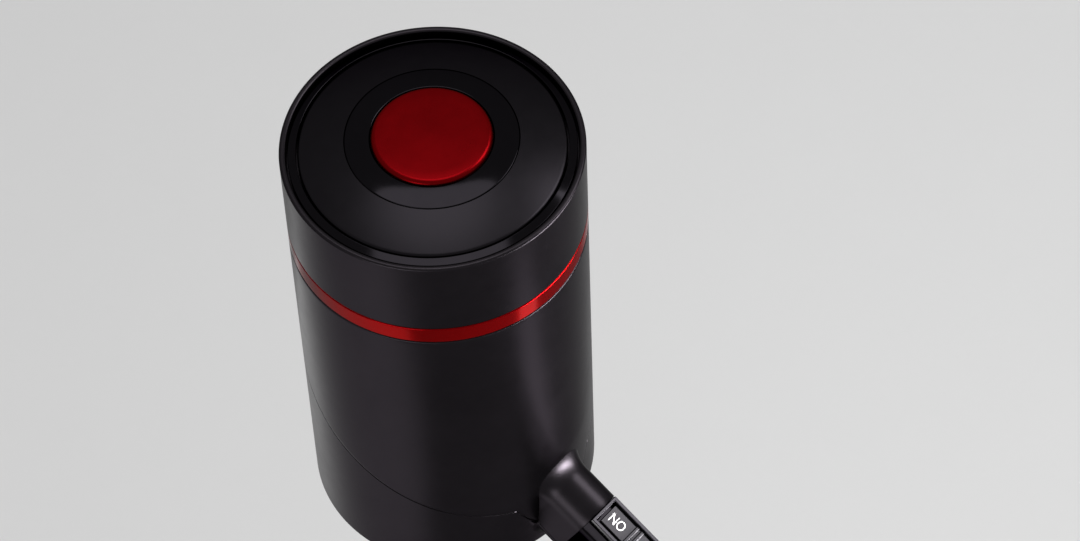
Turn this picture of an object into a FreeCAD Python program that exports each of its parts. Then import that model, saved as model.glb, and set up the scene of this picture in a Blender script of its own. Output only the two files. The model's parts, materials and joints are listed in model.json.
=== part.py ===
import FreeCAD, Part
import math
import os
import Sketcher
from FreeCAD import Vector

# Battery wine aerator and dispenser that plugs into a bottle's neck.
# Frame: +Z up, spout towards -Y, origin where the bottle's lip meets the plug's flange.
# A small air pump presses air into the bottle. The wine rises through the dip tube,
# the elbow of the plug core and the hose into the spout, and leaves by the nozzle.

DOC = FreeCAD.newDocument("WineAerator")
SHEET = DOC.addObject("Spreadsheet::Sheet", "Sizes")

# Driving dimensions in millimetres and degrees
DIMENSIONS = {
    # fits between pieces
    "hairline": 0.15,
    "seat_gap": 0.05,
    "guide_gap": 0.2,
    "free_gap": 0.3,
    # head shells
    "head_radius": 29.0,
    "wall": 1.8,
    "head_height": 104.6,
    "upper_height": 19.1,
    "band_height": 4.2,
    "spigot_depth": 3.8,
    "spigot_wall": 1.5,
    "bottom_round": 2.0,
    "floor_thick": 2.2,
    "pad_thick": 3.5,
    "pad_radius": 15.0,
    "seam_height": 31.4,
    "seam_tilt": 28.9,
    "seam_inset": 2.0,
    "tongue_height": 2.2,
    "tongue_wall": 1.4,
    "tongue_bite": 0.2,
    "tongue_room": 3.0,
    "fairing_foot": 1.0,
    "fairing_bury": 4.0,
    "seam_step": 1.5,
    "seam_bend": 1.0,
    "seam_shift": 0.105,
    "root_high": 2.6,
    "root_low": 1.4,
    "boss_wall": 0.5,
    "boss_rise": 2.8,
    "edge_break": 0.3,
    "band_edge": 0.35,
    # top of the head
    "recess_depth": 2.6,
    "shelf_thick": 1.6,
    "shelf_inset": 3.6,
    "rim_width": 1.3,
    "rim_round": 0.55,
    "plate_inset": 3.5,
    "plate_edge_drop": 0.3,
    "dome_rise": 2.5,
    "bezel_step": 1.9,
    "bezel_width": 5.0,
    "button_proud": 0.9,
    "button_edge": 1.0,
    "button_travel": 1.0,
    "button_skin": 1.6,
    "button_wall": 1.4,
    "button_flange": 1.0,
    "button_crown": 0.25,
    "button_arc": 0.03,
    "stem_radius": 1.8,
    "bevel_drop": 0.5,
    "plate_edge_arc": 0.08,
    "plate_dome_arc": 0.12,
    "plate_lip": 2.0,
    "bezel_skirt": 2.6,
    "bezel_flange": 1.2,
    "bezel_flange_thick": 0.5,
    "bezel_proud": 0.1,
    "bezel_edge": 0.15,
    "bezel_arc": 0.05,
    "bezel_rise": 0.5,
    "bezel_lip": 0.25,
    "membrane": 0.4,
    "membrane_foot": 9.5,
    "membrane_foot_thick": 0.6,
    "membrane_low": 7.4,
    "membrane_high": 5.2,
    "membrane_side": 0.3,
    "switch_side": 6.0,
    "switch_case": 3.4,
    "switch_height": 5.0,
    "plunger_radius": 1.7,
    "chip_height": 1.2,
    # spout
    "spout_height": 30.7,
    "spout_tilt": 25.0,
    "neck_reach": 42.0,
    "tip_length": 26.0,
    "spout_radius": 5.65,
    "spout_depth": 12.5,
    "side_draft": 4.7,
    "corner_radius": 3.4,
    "seam_depth": 8.4,
    "spout_wall": 1.6,
    "flare_radius": 6.5,
    "fairing_rise": 0.8,
    "fairing_height": 36.0,
    "fairing_spread": 34.0,
    "channel_drop": 5.0,
    "tip_end_radius": 5.0,
    "tip_end_depth": 9.0,
    "tip_round": 2.4,
    # slide switch on the spout
    "deck_rise": 4.0,
    "frame_width": 7.3,
    "frame_strip": 0.8,
    "frame_top": 6.1,
    "slider_width": 4.6,
    "slider_length": 15.5,
    "slider_top": 5.8,
    "slider_flange": 6.0,
    "slider_travel": 3.0,
    "slider_clear": 0.7,
    "slider_lift": 0.08,
    "slider_lip": 1.2,
    "peg_width": 2.6,
    "peg_low": 2.9,
    "peg_place": 3.0,
    "peg_length": 5.0,
    "rib_root": 0.3,
    "pad_width": 3.6,
    "pad_low": 1.5,
    "pad_place": 3.6,
    "pad_length": 4.8,
    "gate_width": 4.4,
    "gate_low": 1.4,
    "gate_length": 7.0,
    "gate_place": 2.0,
    "tip_step": 0.1,
    "collar_length": 3.5,
    "collar_bite": 0.5,
    "tip_corner_loss": 0.3,
    "air_port_place": 6.8,
    "air_port_radius": 0.6,
    "air_port_reach": 8.0,
    "rib_place": 7.6,
    "rib_wide": 0.7,
    "rib_pitch": 1.3,
    "rib_rise": 0.45,
    # wine line
    "wine_tube_radius": 3.0,
    "wine_bore": 2.2,
    "hose_wall": 1.0,
    "bend_place": 16.0,
    "bend_radius": 14.0,
    "core_radius": 4.0,
    "core_length": 12.0,
    "throat_radius": 1.3,
    "nozzle_place": 15.0,
    "nozzle_radius": 4.2,
    "nozzle_bore": 3.1,
    "nozzle_length": 10.0,
    "nozzle_drop": 7.0,
    "nozzle_foot": 2.0,
    "nozzle_bevel": 0.4,
    "nozzle_bevel_length": 0.6,
    "nozzle_throat": 2.2,
    "nozzle_seat": 0.7,
    "nozzle_well": 1.0,
    "sieve_thick": 0.8,
    "sieve_place": 1.0,
    "sieve_hole": 0.35,
    "sieve_inner_ring": 1.2,
    "sieve_outer_ring": 2.3,
    "core_place": 2.0,
    "core_seat": 2.0,
    "hose_start": 9.0,
    "hose_end": 6.0,
    "pipe_lap": 1.0,
    "throat_start": 4.0,
    "throat_end": 5.0,
    # plug and its core
    "flange_thick": 3.0,
    "flange_radius": 16.0,
    "plug_length": 27.0,
    "plug_radius": 8.0,
    "seal_radius": 9.4,
    "seal_low": 6.5,
    "plug_rib_radius": 9.1,
    "plug_rib_pitch": 4.6,
    "spigot_radius": 6.0,
    "air_bore": 5.0,
    "core_flange": 14.0,
    "core_flange_thick": 2.0,
    "core_neck": 7.0,
    "plug_tip": 2.0,
    "plug_taper": 1.0,
    "rib_flank": 0.9,
    "rib_width": 0.7,
    "rib_start": 2.0,
    "rib_top": 0.1,
    "flange_round": 0.8,
    "seal_flank": 0.8,
    "barb_rise": 0.6,
    "barb_length": 1.2,
    "barb_drop": 2.6,
    "tower_cap": 1.6,
    "tower_chamfer": 1.5,
    "gland_depth": 1.2,
    "gland_width": 1.8,
    "tube_seat": 5.0,
    "gland_lift": 0.4,
    "air_room": 1.55,
    "elbow_tip": 0.5,
    "elbow_cone": 1.5,
    "wine_nipple_reach": 15.0,
    "air_nipple_bite": 0.5,
    "air_nipple_rise": 5.5,
    "channel_low": 0.4,
    "channel_bite": 0.4,
    "channel_deep": 1.0,
    "core_screw_ring": 11.2,
    "air_channel": 0.8,
    # dip tube
    "upper_tube_radius": 4.0,
    "lower_tube_radius": 3.4,
    "tube_wall": 0.35,
    "upper_tube_low": 126.0,
    "lower_tube_length": 128.0,
    "bush_radius": 5.0,
    "bush_length": 8.0,
    "foot_radius": 4.2,
    "foot_length": 12.0,
    "foot_bore": 1.2,
    "foot_grip": 4.0,
    "foot_bevel": 0.4,
    "foot_bevel_length": 1.0,
    "foot_press": 0.03,
    "slot_half": 0.8,
    "slot_reach": 6.0,
    "slot_depth": 4.5,
    "bush_seat": 4.0,
    "bush_bevel": 0.5,
    "bush_bevel_length": 0.8,
    "bush_groove_low": 1.6,
    "bush_groove_high": 3.2,
    "bush_groove_deep": 1.0,
    "tube_stand": 14.0,
    "stop_ring_low": 4.0,
    "stop_ring_high": 0.6,
    "press_gap": 0.01,
    "slide_gap": 0.08,
    # chassis
    "deck_low": 30.0,
    "deck_thick": 2.0,
    "deck_gap": 2.0,
    "column_radius": 2.9,
    "column_inset": 5.2,
    "column_front": 62.0,
    "column_back": 128.0,
    "web_inset": 4.2,
    "screw_radius": 1.0,
    "screw_length": 12.0,
    "small_screw_radius": 0.75,
    "small_screw_length": 4.6,
    "pump_screw_length": 11.5,
    "board_drop": 8.0,
    "board_thick": 1.6,
    "board_gap": 2.2,
    "hole_radius": 1.15,
    "small_hole": 0.85,
    "screw_room": 0.5,
    "top_head_radius": 1.9,
    "top_head_height": 1.1,
    "base_head_radius": 2.0,
    "base_head_height": 1.5,
    "small_head_radius": 1.5,
    "small_head_height": 1.0,
    "port_head_radius": 1.4,
    "port_head_height": 0.9,
    "head_sink": 1.2,
    "deck_bite": 0.5,
    "web_thick": 1.5,
    "web_rise": 6.0,
    "rib_half": 0.8,
    "pump_cup_wall": 1.3,
    "cell_cup_wall": 1.2,
    "motor_ring_wall": 1.1,
    "pump_cup_depth": 7.5,
    "pump_seat_depth": 8.0,
    "cell_cup_depth": 9.0,
    "motor_ring_drop": 11.0,
    "motor_ring_height": 6.0,
    "wire_x": 12.0,
    "wire_y": 8.5,
    "wire_hole": 2.0,
    "air_hole_room": 1.6,
    "top_pilot": 9.0,
    "low_pilot": 14.0,
    # battery
    "cell_radius": 9.15,
    "cell_room": 11.9,
    "cell_place": 14.6,
    "cell_lift": 0.6,
    "cell_cap": 0.4,
    "cell_cap_radius": 4.0,
    "cell_groove": 0.5,
    "cell_groove_level": 1.8,
    "cell_groove_half": 0.6,
    "tab_width": 7.0,
    "tab_near": 4.0,
    "tab_far": 5.0,
    "tab_thick": 0.4,
    # air pump
    "pump_place": 10.5,
    "pump_radius": 13.2,
    "pump_wall": 1.4,
    "cover_height": 4.0,
    "seat_height": 3.0,
    "frame_height": 20.0,
    "can_radius": 12.2,
    "can_room": 8.0,
    "can_wall": 0.8,
    "shaft_radius": 1.0,
    "wobble_tilt": 6.0,
    "wobble_arm": 7.2,
    "cup_radius": 3.8,
    "air_line_x": 9.0,
    "air_line_y": 6.5,
    "air_nipple_radius": 1.5,
    "air_hose_radius": 2.3,
    "valve_radius": 3.7,
    "pump_screw_inset": 1.9,
    "crank_drop": 5.0,
    "shaft_drop": 3.4,
    "crank_radius": 5.2,
    "crank_thick": 3.2,
    "pivot_rise": 4.0,
    "pin_radius": 0.9,
    "pin_bury": 1.2,
    "pin_tail": 2.5,
    "press_fit": 0.02,
    "running_gap": 0.06,
    "arm_low": 2.6,
    "arm_thick": 1.5,
    "eye_radius": 2.5,
    "eye_hole": 1.4,
    "arm_root": 1.9,
    "arm_half": 2.3,
    "hub_drop": 1.0,
    "hub_out": 2.7,
    "hub_top": 6.0,
    "bush_out": 2.15,
    "bush_proud": 0.6,
    "bush_deep": 2.0,
    "top_bush_drop": 2.6,
    "top_bush_length": 2.4,
    "can_bore": 2.2,
    "can_round": 1.2,
    "cap_boss_depth": 3.0,
    "cap_boss_radius": 4.2,
    "cap_floor": 1.4,
    "cap_skirt": 1.2,
    "cap_skirt_depth": 3.2,
    "cap_edge": 0.6,
    "terminal_place": 8.0,
    "terminal_half": 0.2,
    "terminal_width": 2.4,
    "terminal_low": 1.2,
    "terminal_length": 3.2,
    "cap_rise": 1.6,
    "magnet_thick": 1.9,
    "magnet_low": 4.0,
    "magnet_short": 9.0,
    "pole_gap": 2.5,
    "core_rise": 5.0,
    "core_drop": 7.0,
    "pole_root": 2.0,
    "pole_half": 2.2,
    "shoe_deep": 2.2,
    "shoe_back": 3.4,
    "shoe_face": 1.2,
    "shoe_half": 5.2,
    "shaft_proud": 1.0,
    "hub_radius": 3.0,
    "commutator_radius": 2.4,
    "commutator_low": 0.6,
    "commutator_high": 3.2,
    "port_bore": 0.8,
    "valve_bore": 2.6,
    "valve_cone": 0.6,
    "valve_nipple": 3.0,
    "valve_stem": 0.7,
    "valve_disc": 2.4,
    "valve_disc_thick": 0.55,
    "valve_hole": 0.9,
    "valve_rise": 6.5,
    "valve_drop": 6.0,
    "valve_floor": 4.2,
    "flap_bore": 0.5,
    "flap_slit": 0.15,
    "flap_neck": 1.6,
    "flap_length": 3.4,
    "flap_tip": 0.6,
    "flap_root": 1.6,
    "flap_flange": 0.9,
    "hose_grip": 2.8,
    "hose_stop": 0.4,
    "inlet_hole": 0.6,
    "inlet_inset": 1.7,
    "nipple_drop": 3.0,
    "manifold_depth": 1.6,
    "pump_screw_hole": 0.9,
    "stem_drop": 0.9,
    "frame_bore": 4.0,
    "frame_roof": 1.5,
    "lug_low": 1.2,
    "lug_height": 8.0,
    "pilot_depth": 9.0,
    "lug_radius": 1.7,
    "manifold_radius": 9.9,
    "cup_height": 5.0,
    "cup_taper": 0.9,
    "cup_skin": 0.7,
    "knob_radius": 2.0,
    "knob_level": 9.5,
    "knob_thick": 0.8,
    "rubber_plate": 1.0,
    "rubber_hole": 1.0,
    "cup_stem": 0.8,
    "cup_stem_length": 4.8,
    "cup_roof_inset": 1.7,
    # charge port at the back
    "port_height": 21.0,
    "port_width": 9.0,
    "port_thick": 3.2,
    "cover_width": 16.0,
    "cover_tall": 10.5,
    "cover_thick": 1.5,
    "knuckle_radius": 0.95,
    "port_pin_radius": 0.45,
    "port_post_place": 15.5,
    "port_post_out": 2.5,
    "port_post_radius": 1.8,
    "port_board_thick": 0.9,
    "port_board_wing": 9.0,
    "port_board_front": 13.0,
    "port_board_back": 4.8,
    "port_start": 20.0,
    "port_wall": 2.0,
    "port_wall_depth": 4.5,
    "port_shell": 0.3,
    "port_back": 0.6,
    "contact_width": 6.0,
    "contact_length": 4.6,
    "contact_thick": 0.7,
    "scoop_radius": 3.0,
    "scoop_rise": 1.4,
    "scoop_depth": 0.7,
    "pin_reach": 1.1,
}


class Size:
    """A size that knows its value and the sheet expression that gives it."""

    def __init__(self, value, text):
        self.value = float(value)
        self.text = text

    def __add__(self, other):
        other = size(other)
        return Size(self.value + other.value, f"({self.text} + {other.text})")

    def __sub__(self, other):
        other = size(other)
        return Size(self.value - other.value, f"({self.text} - {other.text})")

    def __mul__(self, other):
        other = size(other)
        return Size(self.value * other.value, f"({self.text} * {other.text})")

    def __truediv__(self, other):
        other = size(other)
        return Size(self.value / other.value, f"({self.text} / {other.text})")

    def __neg__(self):
        return Size(-self.value, f"(0 - {self.text})")

    def __radd__(self, other):
        return size(other) + self

    def __rsub__(self, other):
        return size(other) - self

    def __rmul__(self, other):
        return size(other) * self

    def sin(self):
        return Size(math.sin(math.radians(self.value)), f"sin({self.text} * 1 deg)")

    def cos(self):
        return Size(math.cos(math.radians(self.value)), f"cos({self.text} * 1 deg)")

    def tan(self):
        return Size(math.tan(math.radians(self.value)), f"tan({self.text} * 1 deg)")


def size(number):
    """Wrap a plain number, so that it can stand beside the sheet's sizes."""
    return number if isinstance(number, Size) else Size(number, repr(float(number)))


class Named:
    """The sheet's sizes, each under its own name."""


D = Named()
for row, (name, number) in enumerate(DIMENSIONS.items(), start=1):
    SHEET.set(f"A{row}", name)
    SHEET.set(f"B{row}", str(number))
    SHEET.setAlias(f"B{row}", name)
    setattr(D, name, Size(number, f"Sizes.{name}"))
DOC.recompute()

# Levels along the head's axis
BASE = D.flange_thick
FLOOR_TOP = BASE + D.floor_thick
PAD_TOP = BASE + D.pad_thick
RIM = BASE + D.head_height
BAND_TOP = RIM - D.upper_height
BAND_LOW = BAND_TOP - D.band_height
SHELF = RIM - D.recess_depth
DECK_LOW = BASE + D.deck_low
DECK_TOP = DECK_LOW + D.deck_thick
BOARD = SHELF - D.board_drop
BOARD_TOP = BOARD + D.board_thick
INNER = D.head_radius - D.wall
PLATE_RADIUS = D.head_radius - D.plate_inset
DECK_RADIUS = INNER - D.deck_gap
COLUMN_RING = INNER - D.column_inset
SHELF_BORE = COLUMN_RING - D.shelf_inset
PLATE_BORE = SHELF_BORE - D.bezel_step
BUTTON_RADIUS = PLATE_BORE - D.bezel_width
BOARD_RADIUS = INNER - D.board_gap
CELL_LENGTH = BOARD - D.cell_room - DECK_TOP - D.cell_lift
DOME_TOP = RIM - D.plate_edge_drop + D.dome_rise
# Spout: its axis leaves the head's axis at this height and falls towards -Y
SPOUT = BASE + D.spout_height
SIN = D.spout_tilt.sin()
COS = D.spout_tilt.cos()
# The wine channel runs below the spout's axis, and the elbow meets it at the bend
BEND_REACH = D.neck_reach * COS - D.bend_place
NOZZLE_REACH = D.neck_reach * COS + D.nozzle_place
CHANNEL_BACK = D.channel_drop * SIN
CHANNEL_HEIGHT = SPOUT - D.channel_drop * COS
ELBOW = CHANNEL_HEIGHT - (BEND_REACH + CHANNEL_BACK) * D.spout_tilt.tan()
# The fairing swells from its foot to the flare's crease and fades above it
CREASE = SPOUT - D.flare_radius / 2
FAIRING_FOOT = BASE + D.bottom_round + D.fairing_foot
# Pump stack above the deck
SEAT_LOW = DECK_TOP + D.cover_height
CUPS_LOW = SEAT_LOW + D.seat_height
CAN_LOW = CUPS_LOW + D.frame_height
CAN_TOP = BOARD - D.can_room
CRANK_LOW = CAN_LOW - D.crank_drop
SHAFT_LOW = CAN_LOW - D.shaft_drop
PUMP_SCREWS = D.pump_radius - D.pump_screw_inset
PUMP = (0, -D.pump_place)
AIR_LINE = (D.air_line_x, -D.air_line_y)

# The fairing's curved edges meet the round wall's circles within this
JOIN_TOLERANCE = 1e-4
# Points closer than this count as one
SAME_PLACE = 1e-4
# How far a cutting tool reaches past what it cuts
PAST = 1.0
OVERLAP = 0.01
# First of three equal directions: the pump's arms, and the screws between them
ARM_TURN = 90
SCREW_TURN = 30

NODES = []


def bind(item, prop, value):
    """Tie one property of an object to the sheet."""
    item.setExpression(prop, size(value).text)


def place(item, x=0, y=0, z=0, axis=None, angle=None):
    """Put an object at a place worked out from the sheet, turned about one axis."""
    turn = FreeCAD.Rotation(axis, size(angle).value) if axis else FreeCAD.Rotation()
    item.Placement = FreeCAD.Placement(Vector(size(x).value, size(y).value, size(z).value), turn)
    for letter, value in (("x", x), ("y", y), ("z", z)):
        if isinstance(value, Size):
            bind(item, f"Placement.Base.{letter}", value)
    if isinstance(angle, Size):
        bind(item, "Placement.Rotation.Angle", angle)


def node(item, label):
    """Name an object as one physical piece."""
    item.Label = label
    NODES.append(item)
    return item


def hold(sketch, geometry, end, x, y):
    """Fix one point of a sketch by its two distances from the origin."""
    for kind, axis_line, value in (("DistanceX", -2, x), ("DistanceY", -1, y)):
        if not isinstance(value, Size) and value == 0:
            sketch.addConstraint(Sketcher.Constraint("PointOnObject", geometry, end, axis_line))
            continue
        index = sketch.addConstraint(Sketcher.Constraint(kind, -1, 1, geometry, end, size(value).value))
        if isinstance(value, Size):
            sketch.setExpression(f"Constraints[{index}]", value.text)


def add_loop(sketch, corners):
    """A closed outline. A corner's third value is the rise of an arc towards the next corner."""
    first = sketch.GeometryCount
    count = len(corners)
    ends = []
    for index, corner in enumerate(corners):
        after = corners[(index + 1) % count]
        start = Vector(size(corner[0]).value, size(corner[1]).value, 0)
        stop = Vector(size(after[0]).value, size(after[1]).value, 0)
        if len(corner) == 2:
            ends.append((sketch.addGeometry(Part.LineSegment(start, stop), False), 1, 2))
            continue
        rise = size(corner[2])
        chord = stop - start
        side = Vector(-chord.y, chord.x, 0).normalize()
        arc = Part.Arc(start, (start + stop) * 0.5 + side * rise.value, stop)
        number = sketch.addGeometry(arc, False)
        forward = sketch.getPoint(number, 1).distanceToPoint(start) < SAME_PLACE
        ends.append((number, 1, 2) if forward else (number, 2, 1))
        across = size(after[0]) - corner[0]
        along = size(after[1]) - corner[1]
        radius = ((across * across + along * along) / 4 + rise * rise) / (2 * rise)
        sign = 1 if rise.value > 0 else -1
        bound = sketch.addConstraint(Sketcher.Constraint("Radius", number, abs(radius.value)))
        sketch.setExpression(f"Constraints[{bound}]", (radius * sign).text)
    for index, corner in enumerate(corners):
        number, begin, _ = ends[index]
        before, _, finish = ends[index - 1]
        sketch.addConstraint(Sketcher.Constraint("Coincident", before, finish, number, begin))
        hold(sketch, number, begin, corner[0], corner[1])
    return first


def add_circle(sketch, x, y, radius):
    circle = Part.Circle(Vector(size(x).value, size(y).value, 0), Vector(0, 0, 1), size(radius).value)
    number = sketch.addGeometry(circle, False)
    hold(sketch, number, 3, x, y)
    index = sketch.addConstraint(Sketcher.Constraint("Radius", number, size(radius).value))
    if isinstance(radius, Size):
        sketch.setExpression(f"Constraints[{index}]", radius.text)


def add_sketch(body, name, role, loops=(), circles=(), lift=None):
    """A sketch on one of the body's own origin planes, raised by lift."""
    sketch = body.newObject("Sketcher::SketchObject", name)
    plane = next(item for item in body.Origin.OriginFeatures if item.Role == role)
    sketch.AttachmentSupport = [(plane, "")]
    sketch.MapMode = "FlatFace"
    if lift is not None:
        sketch.AttachmentOffset = FreeCAD.Placement(Vector(0, 0, size(lift).value), FreeCAD.Rotation())
        bind(sketch, "AttachmentOffset.Base.z", lift)
    for corners in loops:
        add_loop(sketch, corners)
    for circle in circles:
        add_circle(sketch, *circle)
    sketch.Visibility = False
    return sketch


def new_body(label, at=(0, 0), z=0, axis=None, angle=None):
    body = DOC.addObject("PartDesign::Body", label.title().replace("_", ""))
    place(body, at[0], at[1], z, axis, angle)
    return node(body, label)


def spin(body, corners, kind="Revolution", role="XZ_Plane"):
    """Turn a closed outline of radius and height corners about the body's own Z axis."""
    sketch = add_sketch(body, f"{body.Name}{kind}Outline", role, loops=[corners])
    feature = body.newObject(f"PartDesign::{kind}", f"{body.Name}{kind}")
    feature.Profile = sketch
    feature.ReferenceAxis = (sketch, ["V_Axis"])
    feature.Angle = 360
    return feature


def prism(body, name, low, length, loops=(), circles=(), kind="Pad"):
    """Raise outlines into a pad, or cut them as a pocket, from a low level upwards."""
    sketch = add_sketch(body, f"{body.Name}{name}Outline", "XY_Plane", loops, circles, low)
    feature = body.newObject(f"PartDesign::{kind}", f"{body.Name}{name}")
    feature.Profile = sketch
    feature.Reversed = kind == "Pocket"
    feature.Length = size(length).value
    bind(feature, "Length", length)
    return feature


def soften(body, name, radius, choose, kind="Fillet"):
    """Round or bevel the edges of the body so far that a test picks."""
    DOC.recompute()
    base = body.Tip
    names = [f"Edge{n}" for n, edge in enumerate(base.Shape.Edges, start=1) if choose(edge)]
    if not names:
        raise RuntimeError(f"no edge found for {name} of {body.Label}")
    feature = body.newObject(f"PartDesign::{kind}", f"{body.Name}{name}")
    feature.Base = (base, names)
    prop = "Radius" if kind == "Fillet" else "Size"
    setattr(feature, prop, size(radius).value)
    bind(feature, prop, radius)
    return feature


def ring_edge(radius, height):
    """Test for a full circular edge of a radius at a height."""
    radius = size(radius).value
    height = size(height).value

    def test(edge):
        if edge.Degenerated:
            return False
        curve = edge.Curve
        return (curve.TypeId == "Part::GeomCircle" and abs(curve.Radius - radius) < SAME_PLACE
                and abs(curve.Center.z - height) < SAME_PLACE)

    return test


def either(*tests):
    return lambda edge: any(test(edge) for test in tests)


def rectangle(x_low, y_low, x_high, y_high):
    return [(x_low, y_low), (x_high, y_low), (x_high, y_high), (x_low, y_high)]


def centred(width, y_low, y_high):
    """A rectangle across the mid plane."""
    half = size(width) / 2
    return rectangle(-half, y_low, half, y_high)


def column_places():
    """Feet of the four columns that carry the deck and the board."""
    places = []
    for turn in (D.column_front, D.column_back):
        for side in (-1, 1):
            places.append((COLUMN_RING * turn.sin() * side, -(COLUMN_RING * turn.cos())))
    return places


def tube(label, inner, outer, low, high, at=(0, 0)):
    """A plain straight tube."""
    body = new_body(label, at)
    spin(body, [(inner, low), (outer, low), (outer, high), (inner, high)])
    return body


def moulded(label, shape):
    """A piece whose shape is built from its sections and cuts."""
    piece = DOC.addObject("Part::Feature", label.title().replace("_", ""))
    piece.Shape = shape.removeSplitter()
    return node(piece, label)


# Head shells: sections and cuts that main housing, base and spout share


def spout_point(across, rise, along):
    """A point given across the spout, above its axis and along it."""
    sin, cos = SIN.value, COS.value
    return Vector(across, -along * cos - rise * sin, SPOUT.value - along * sin + rise * cos)


def spout_section(along, radius, depth, lift=0.0, corner=None):
    """Closed section of the spout: a round top, drafted sides and a flat bottom."""
    corner = D.corner_radius.value if corner is None else corner
    draft = math.radians(D.side_draft.value)
    centre_rise = -depth + corner
    centre_across = (radius - corner - (centre_rise - lift) * math.sin(draft)) / math.cos(draft)

    def at(angle, radius_, across, rise):
        return spout_point(across + radius_ * math.cos(angle), rise + radius_ * math.sin(angle), along)

    def mirrored(point):
        return Vector(-point.x, point.y, point.z)

    side_top = at(draft, radius, 0, lift)
    crown = at(math.pi / 2, radius, 0, lift)
    corner_start = at(draft, corner, centre_across, centre_rise)
    corner_mid = at((draft - math.pi / 2) / 2, corner, centre_across, centre_rise)
    corner_end = at(-math.pi / 2, corner, centre_across, centre_rise)
    edges = [
        Part.Arc(side_top, crown, mirrored(side_top)).toShape(),
        Part.LineSegment(mirrored(side_top), mirrored(corner_start)).toShape(),
        Part.Arc(mirrored(corner_start), mirrored(corner_mid), mirrored(corner_end)).toShape(),
        Part.LineSegment(mirrored(corner_end), corner_end).toShape(),
        Part.Arc(corner_end, corner_mid, corner_start).toShape(),
        Part.LineSegment(corner_start, side_top).toShape(),
    ]
    return Part.Wire(edges)


def spout_prism(start, end, inset=0.0):
    """A straight stretch of the spout, or of the hollow inside it."""
    wire = spout_section(start, D.spout_radius.value - inset, D.spout_depth.value - inset,
                         corner=D.corner_radius.value - inset / 2)
    return Part.Face(wire).extrude(spout_point(0, 0, end) - spout_point(0, 0, start))


# How much of the flare goes to the sides and to the bottom; the rest lifts its top
FLARE_SHARE = 0.9
FLARE_DROP = 0.5
FLARE_TURNS = (60, 42, 22, 0)


def flared_root():
    """The spout where it grows out of the head: a flare that ends in the wall."""
    radius = D.spout_radius.value
    flare = D.flare_radius.value
    sin, cos = SIN.value, COS.value
    buried = D.free_gap.value
    wall_reach = D.head_radius.value + D.fairing_rise.value - buried
    end = (wall_reach - radius * sin + flare * (1 - sin)) / cos
    wires = []
    for turn in FLARE_TURNS:
        angle = math.radians(turn)
        grow = flare * (1 - math.cos(angle))
        side = grow * FLARE_SHARE
        wires.append(spout_section(end - flare * math.sin(angle), radius + side,
                                   D.spout_depth.value + side * FLARE_DROP, grow - side))
    flared = Part.makeLoft(wires, True)
    inside = Part.Face(wires[0]).extrude(spout_point(0, 0, 0) - spout_point(0, 0, flare * 2))
    straight = spout_prism(end, D.neck_reach.value)
    return flared.fuse([inside, straight])


# Points on each side of the fairing's middle, and the levels of its sections
FAIRING_STEPS = 8
LOWER_SHARES = (0, 0.3, 0.7)
UPPER_SHARES = (0, 0.25, 0.5, 0.75, 1)


def swell(height):
    """How far the fairing over the spout stands out at a height."""
    crease, foot = CREASE.value, FAIRING_FOOT.value
    top = crease + D.fairing_height.value
    if height >= top or height <= foot:
        return 0.0
    if height >= crease:
        return D.fairing_rise.value * ((top - height) / D.fairing_height.value) ** 2
    share = (height - foot) / (crease - foot)
    return D.fairing_rise.value * share * share * (3 - 2 * share)


def fairing_section(height, inner):
    """Sector of the head's round section over the spout, with its low swell."""
    spread = D.fairing_spread.value
    points = []
    for step in range(-FAIRING_STEPS, FAIRING_STEPS + 1):
        turn = spread * step / FAIRING_STEPS
        bump = math.cos(math.pi / 2 * step / FAIRING_STEPS) ** 2
        points.append(head_point(D.head_radius.value + swell(height) * bump, turn, height))
    ends = []
    for turn in (-spread, spread):
        angle = math.radians(turn)
        ends.append(Vector(math.cos(angle), math.sin(angle), 0))
    outer = Part.BSplineCurve()
    outer.interpolate(Points=points, InitialTangent=ends[0], FinalTangent=ends[1])
    near = [head_point(inner, turn, height) for turn in (-spread, 0, spread)]
    return Part.Wire([
        outer.toShape(),
        Part.LineSegment(points[-1], near[2]).toShape(),
        Part.Arc(near[2], near[1], near[0]).toShape(),
        Part.LineSegment(near[0], points[0]).toShape(),
    ])


def head_point(reach, turn, height):
    """A point round the head, turned from the spout's side."""
    angle = math.radians(turn)
    return Vector(reach * math.sin(angle), -reach * math.cos(angle), height)


def head_block():
    """The outer form from the base's underside to the red band, without the spout."""
    crease, foot = CREASE.value, FAIRING_FOOT.value
    heights = [foot + (crease - foot) * share for share in LOWER_SHARES]
    heights += [crease + D.fairing_height.value * share for share in UPPER_SHARES]
    inner = (INNER - D.fairing_bury).value
    fairing = Part.makeLoft([fairing_section(height, inner) for height in heights], True)
    block = Part.makeCylinder(D.head_radius.value, (BAND_LOW - D.hairline - BASE).value,
                              Vector(0, 0, BASE.value))
    edges = [edge for edge in block.Edges
             if all(vertex.Z < (BASE + D.hairline).value for vertex in edge.Vertexes)]
    block = block.makeFillet(D.bottom_round.value, edges)
    spread = D.fairing_spread.value
    near = [head_point(inner, turn, foot) for turn in (-spread, 0, spread)]
    far = [head_point(2 * inner, turn, foot) for turn in (-spread, 0, spread)]
    sector = Part.Face(Part.Wire([
        Part.LineSegment(near[0], far[0]).toShape(),
        Part.Arc(far[0], far[1], far[2]).toShape(),
        Part.LineSegment(far[2], near[2]).toShape(),
        Part.Arc(near[2], near[1], near[0]).toShape(),
    ]))
    notch = sector.extrude(Vector(0, 0, heights[-1] - foot))
    return block.cut(notch).fuse([fairing], JOIN_TOLERANCE)


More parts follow.
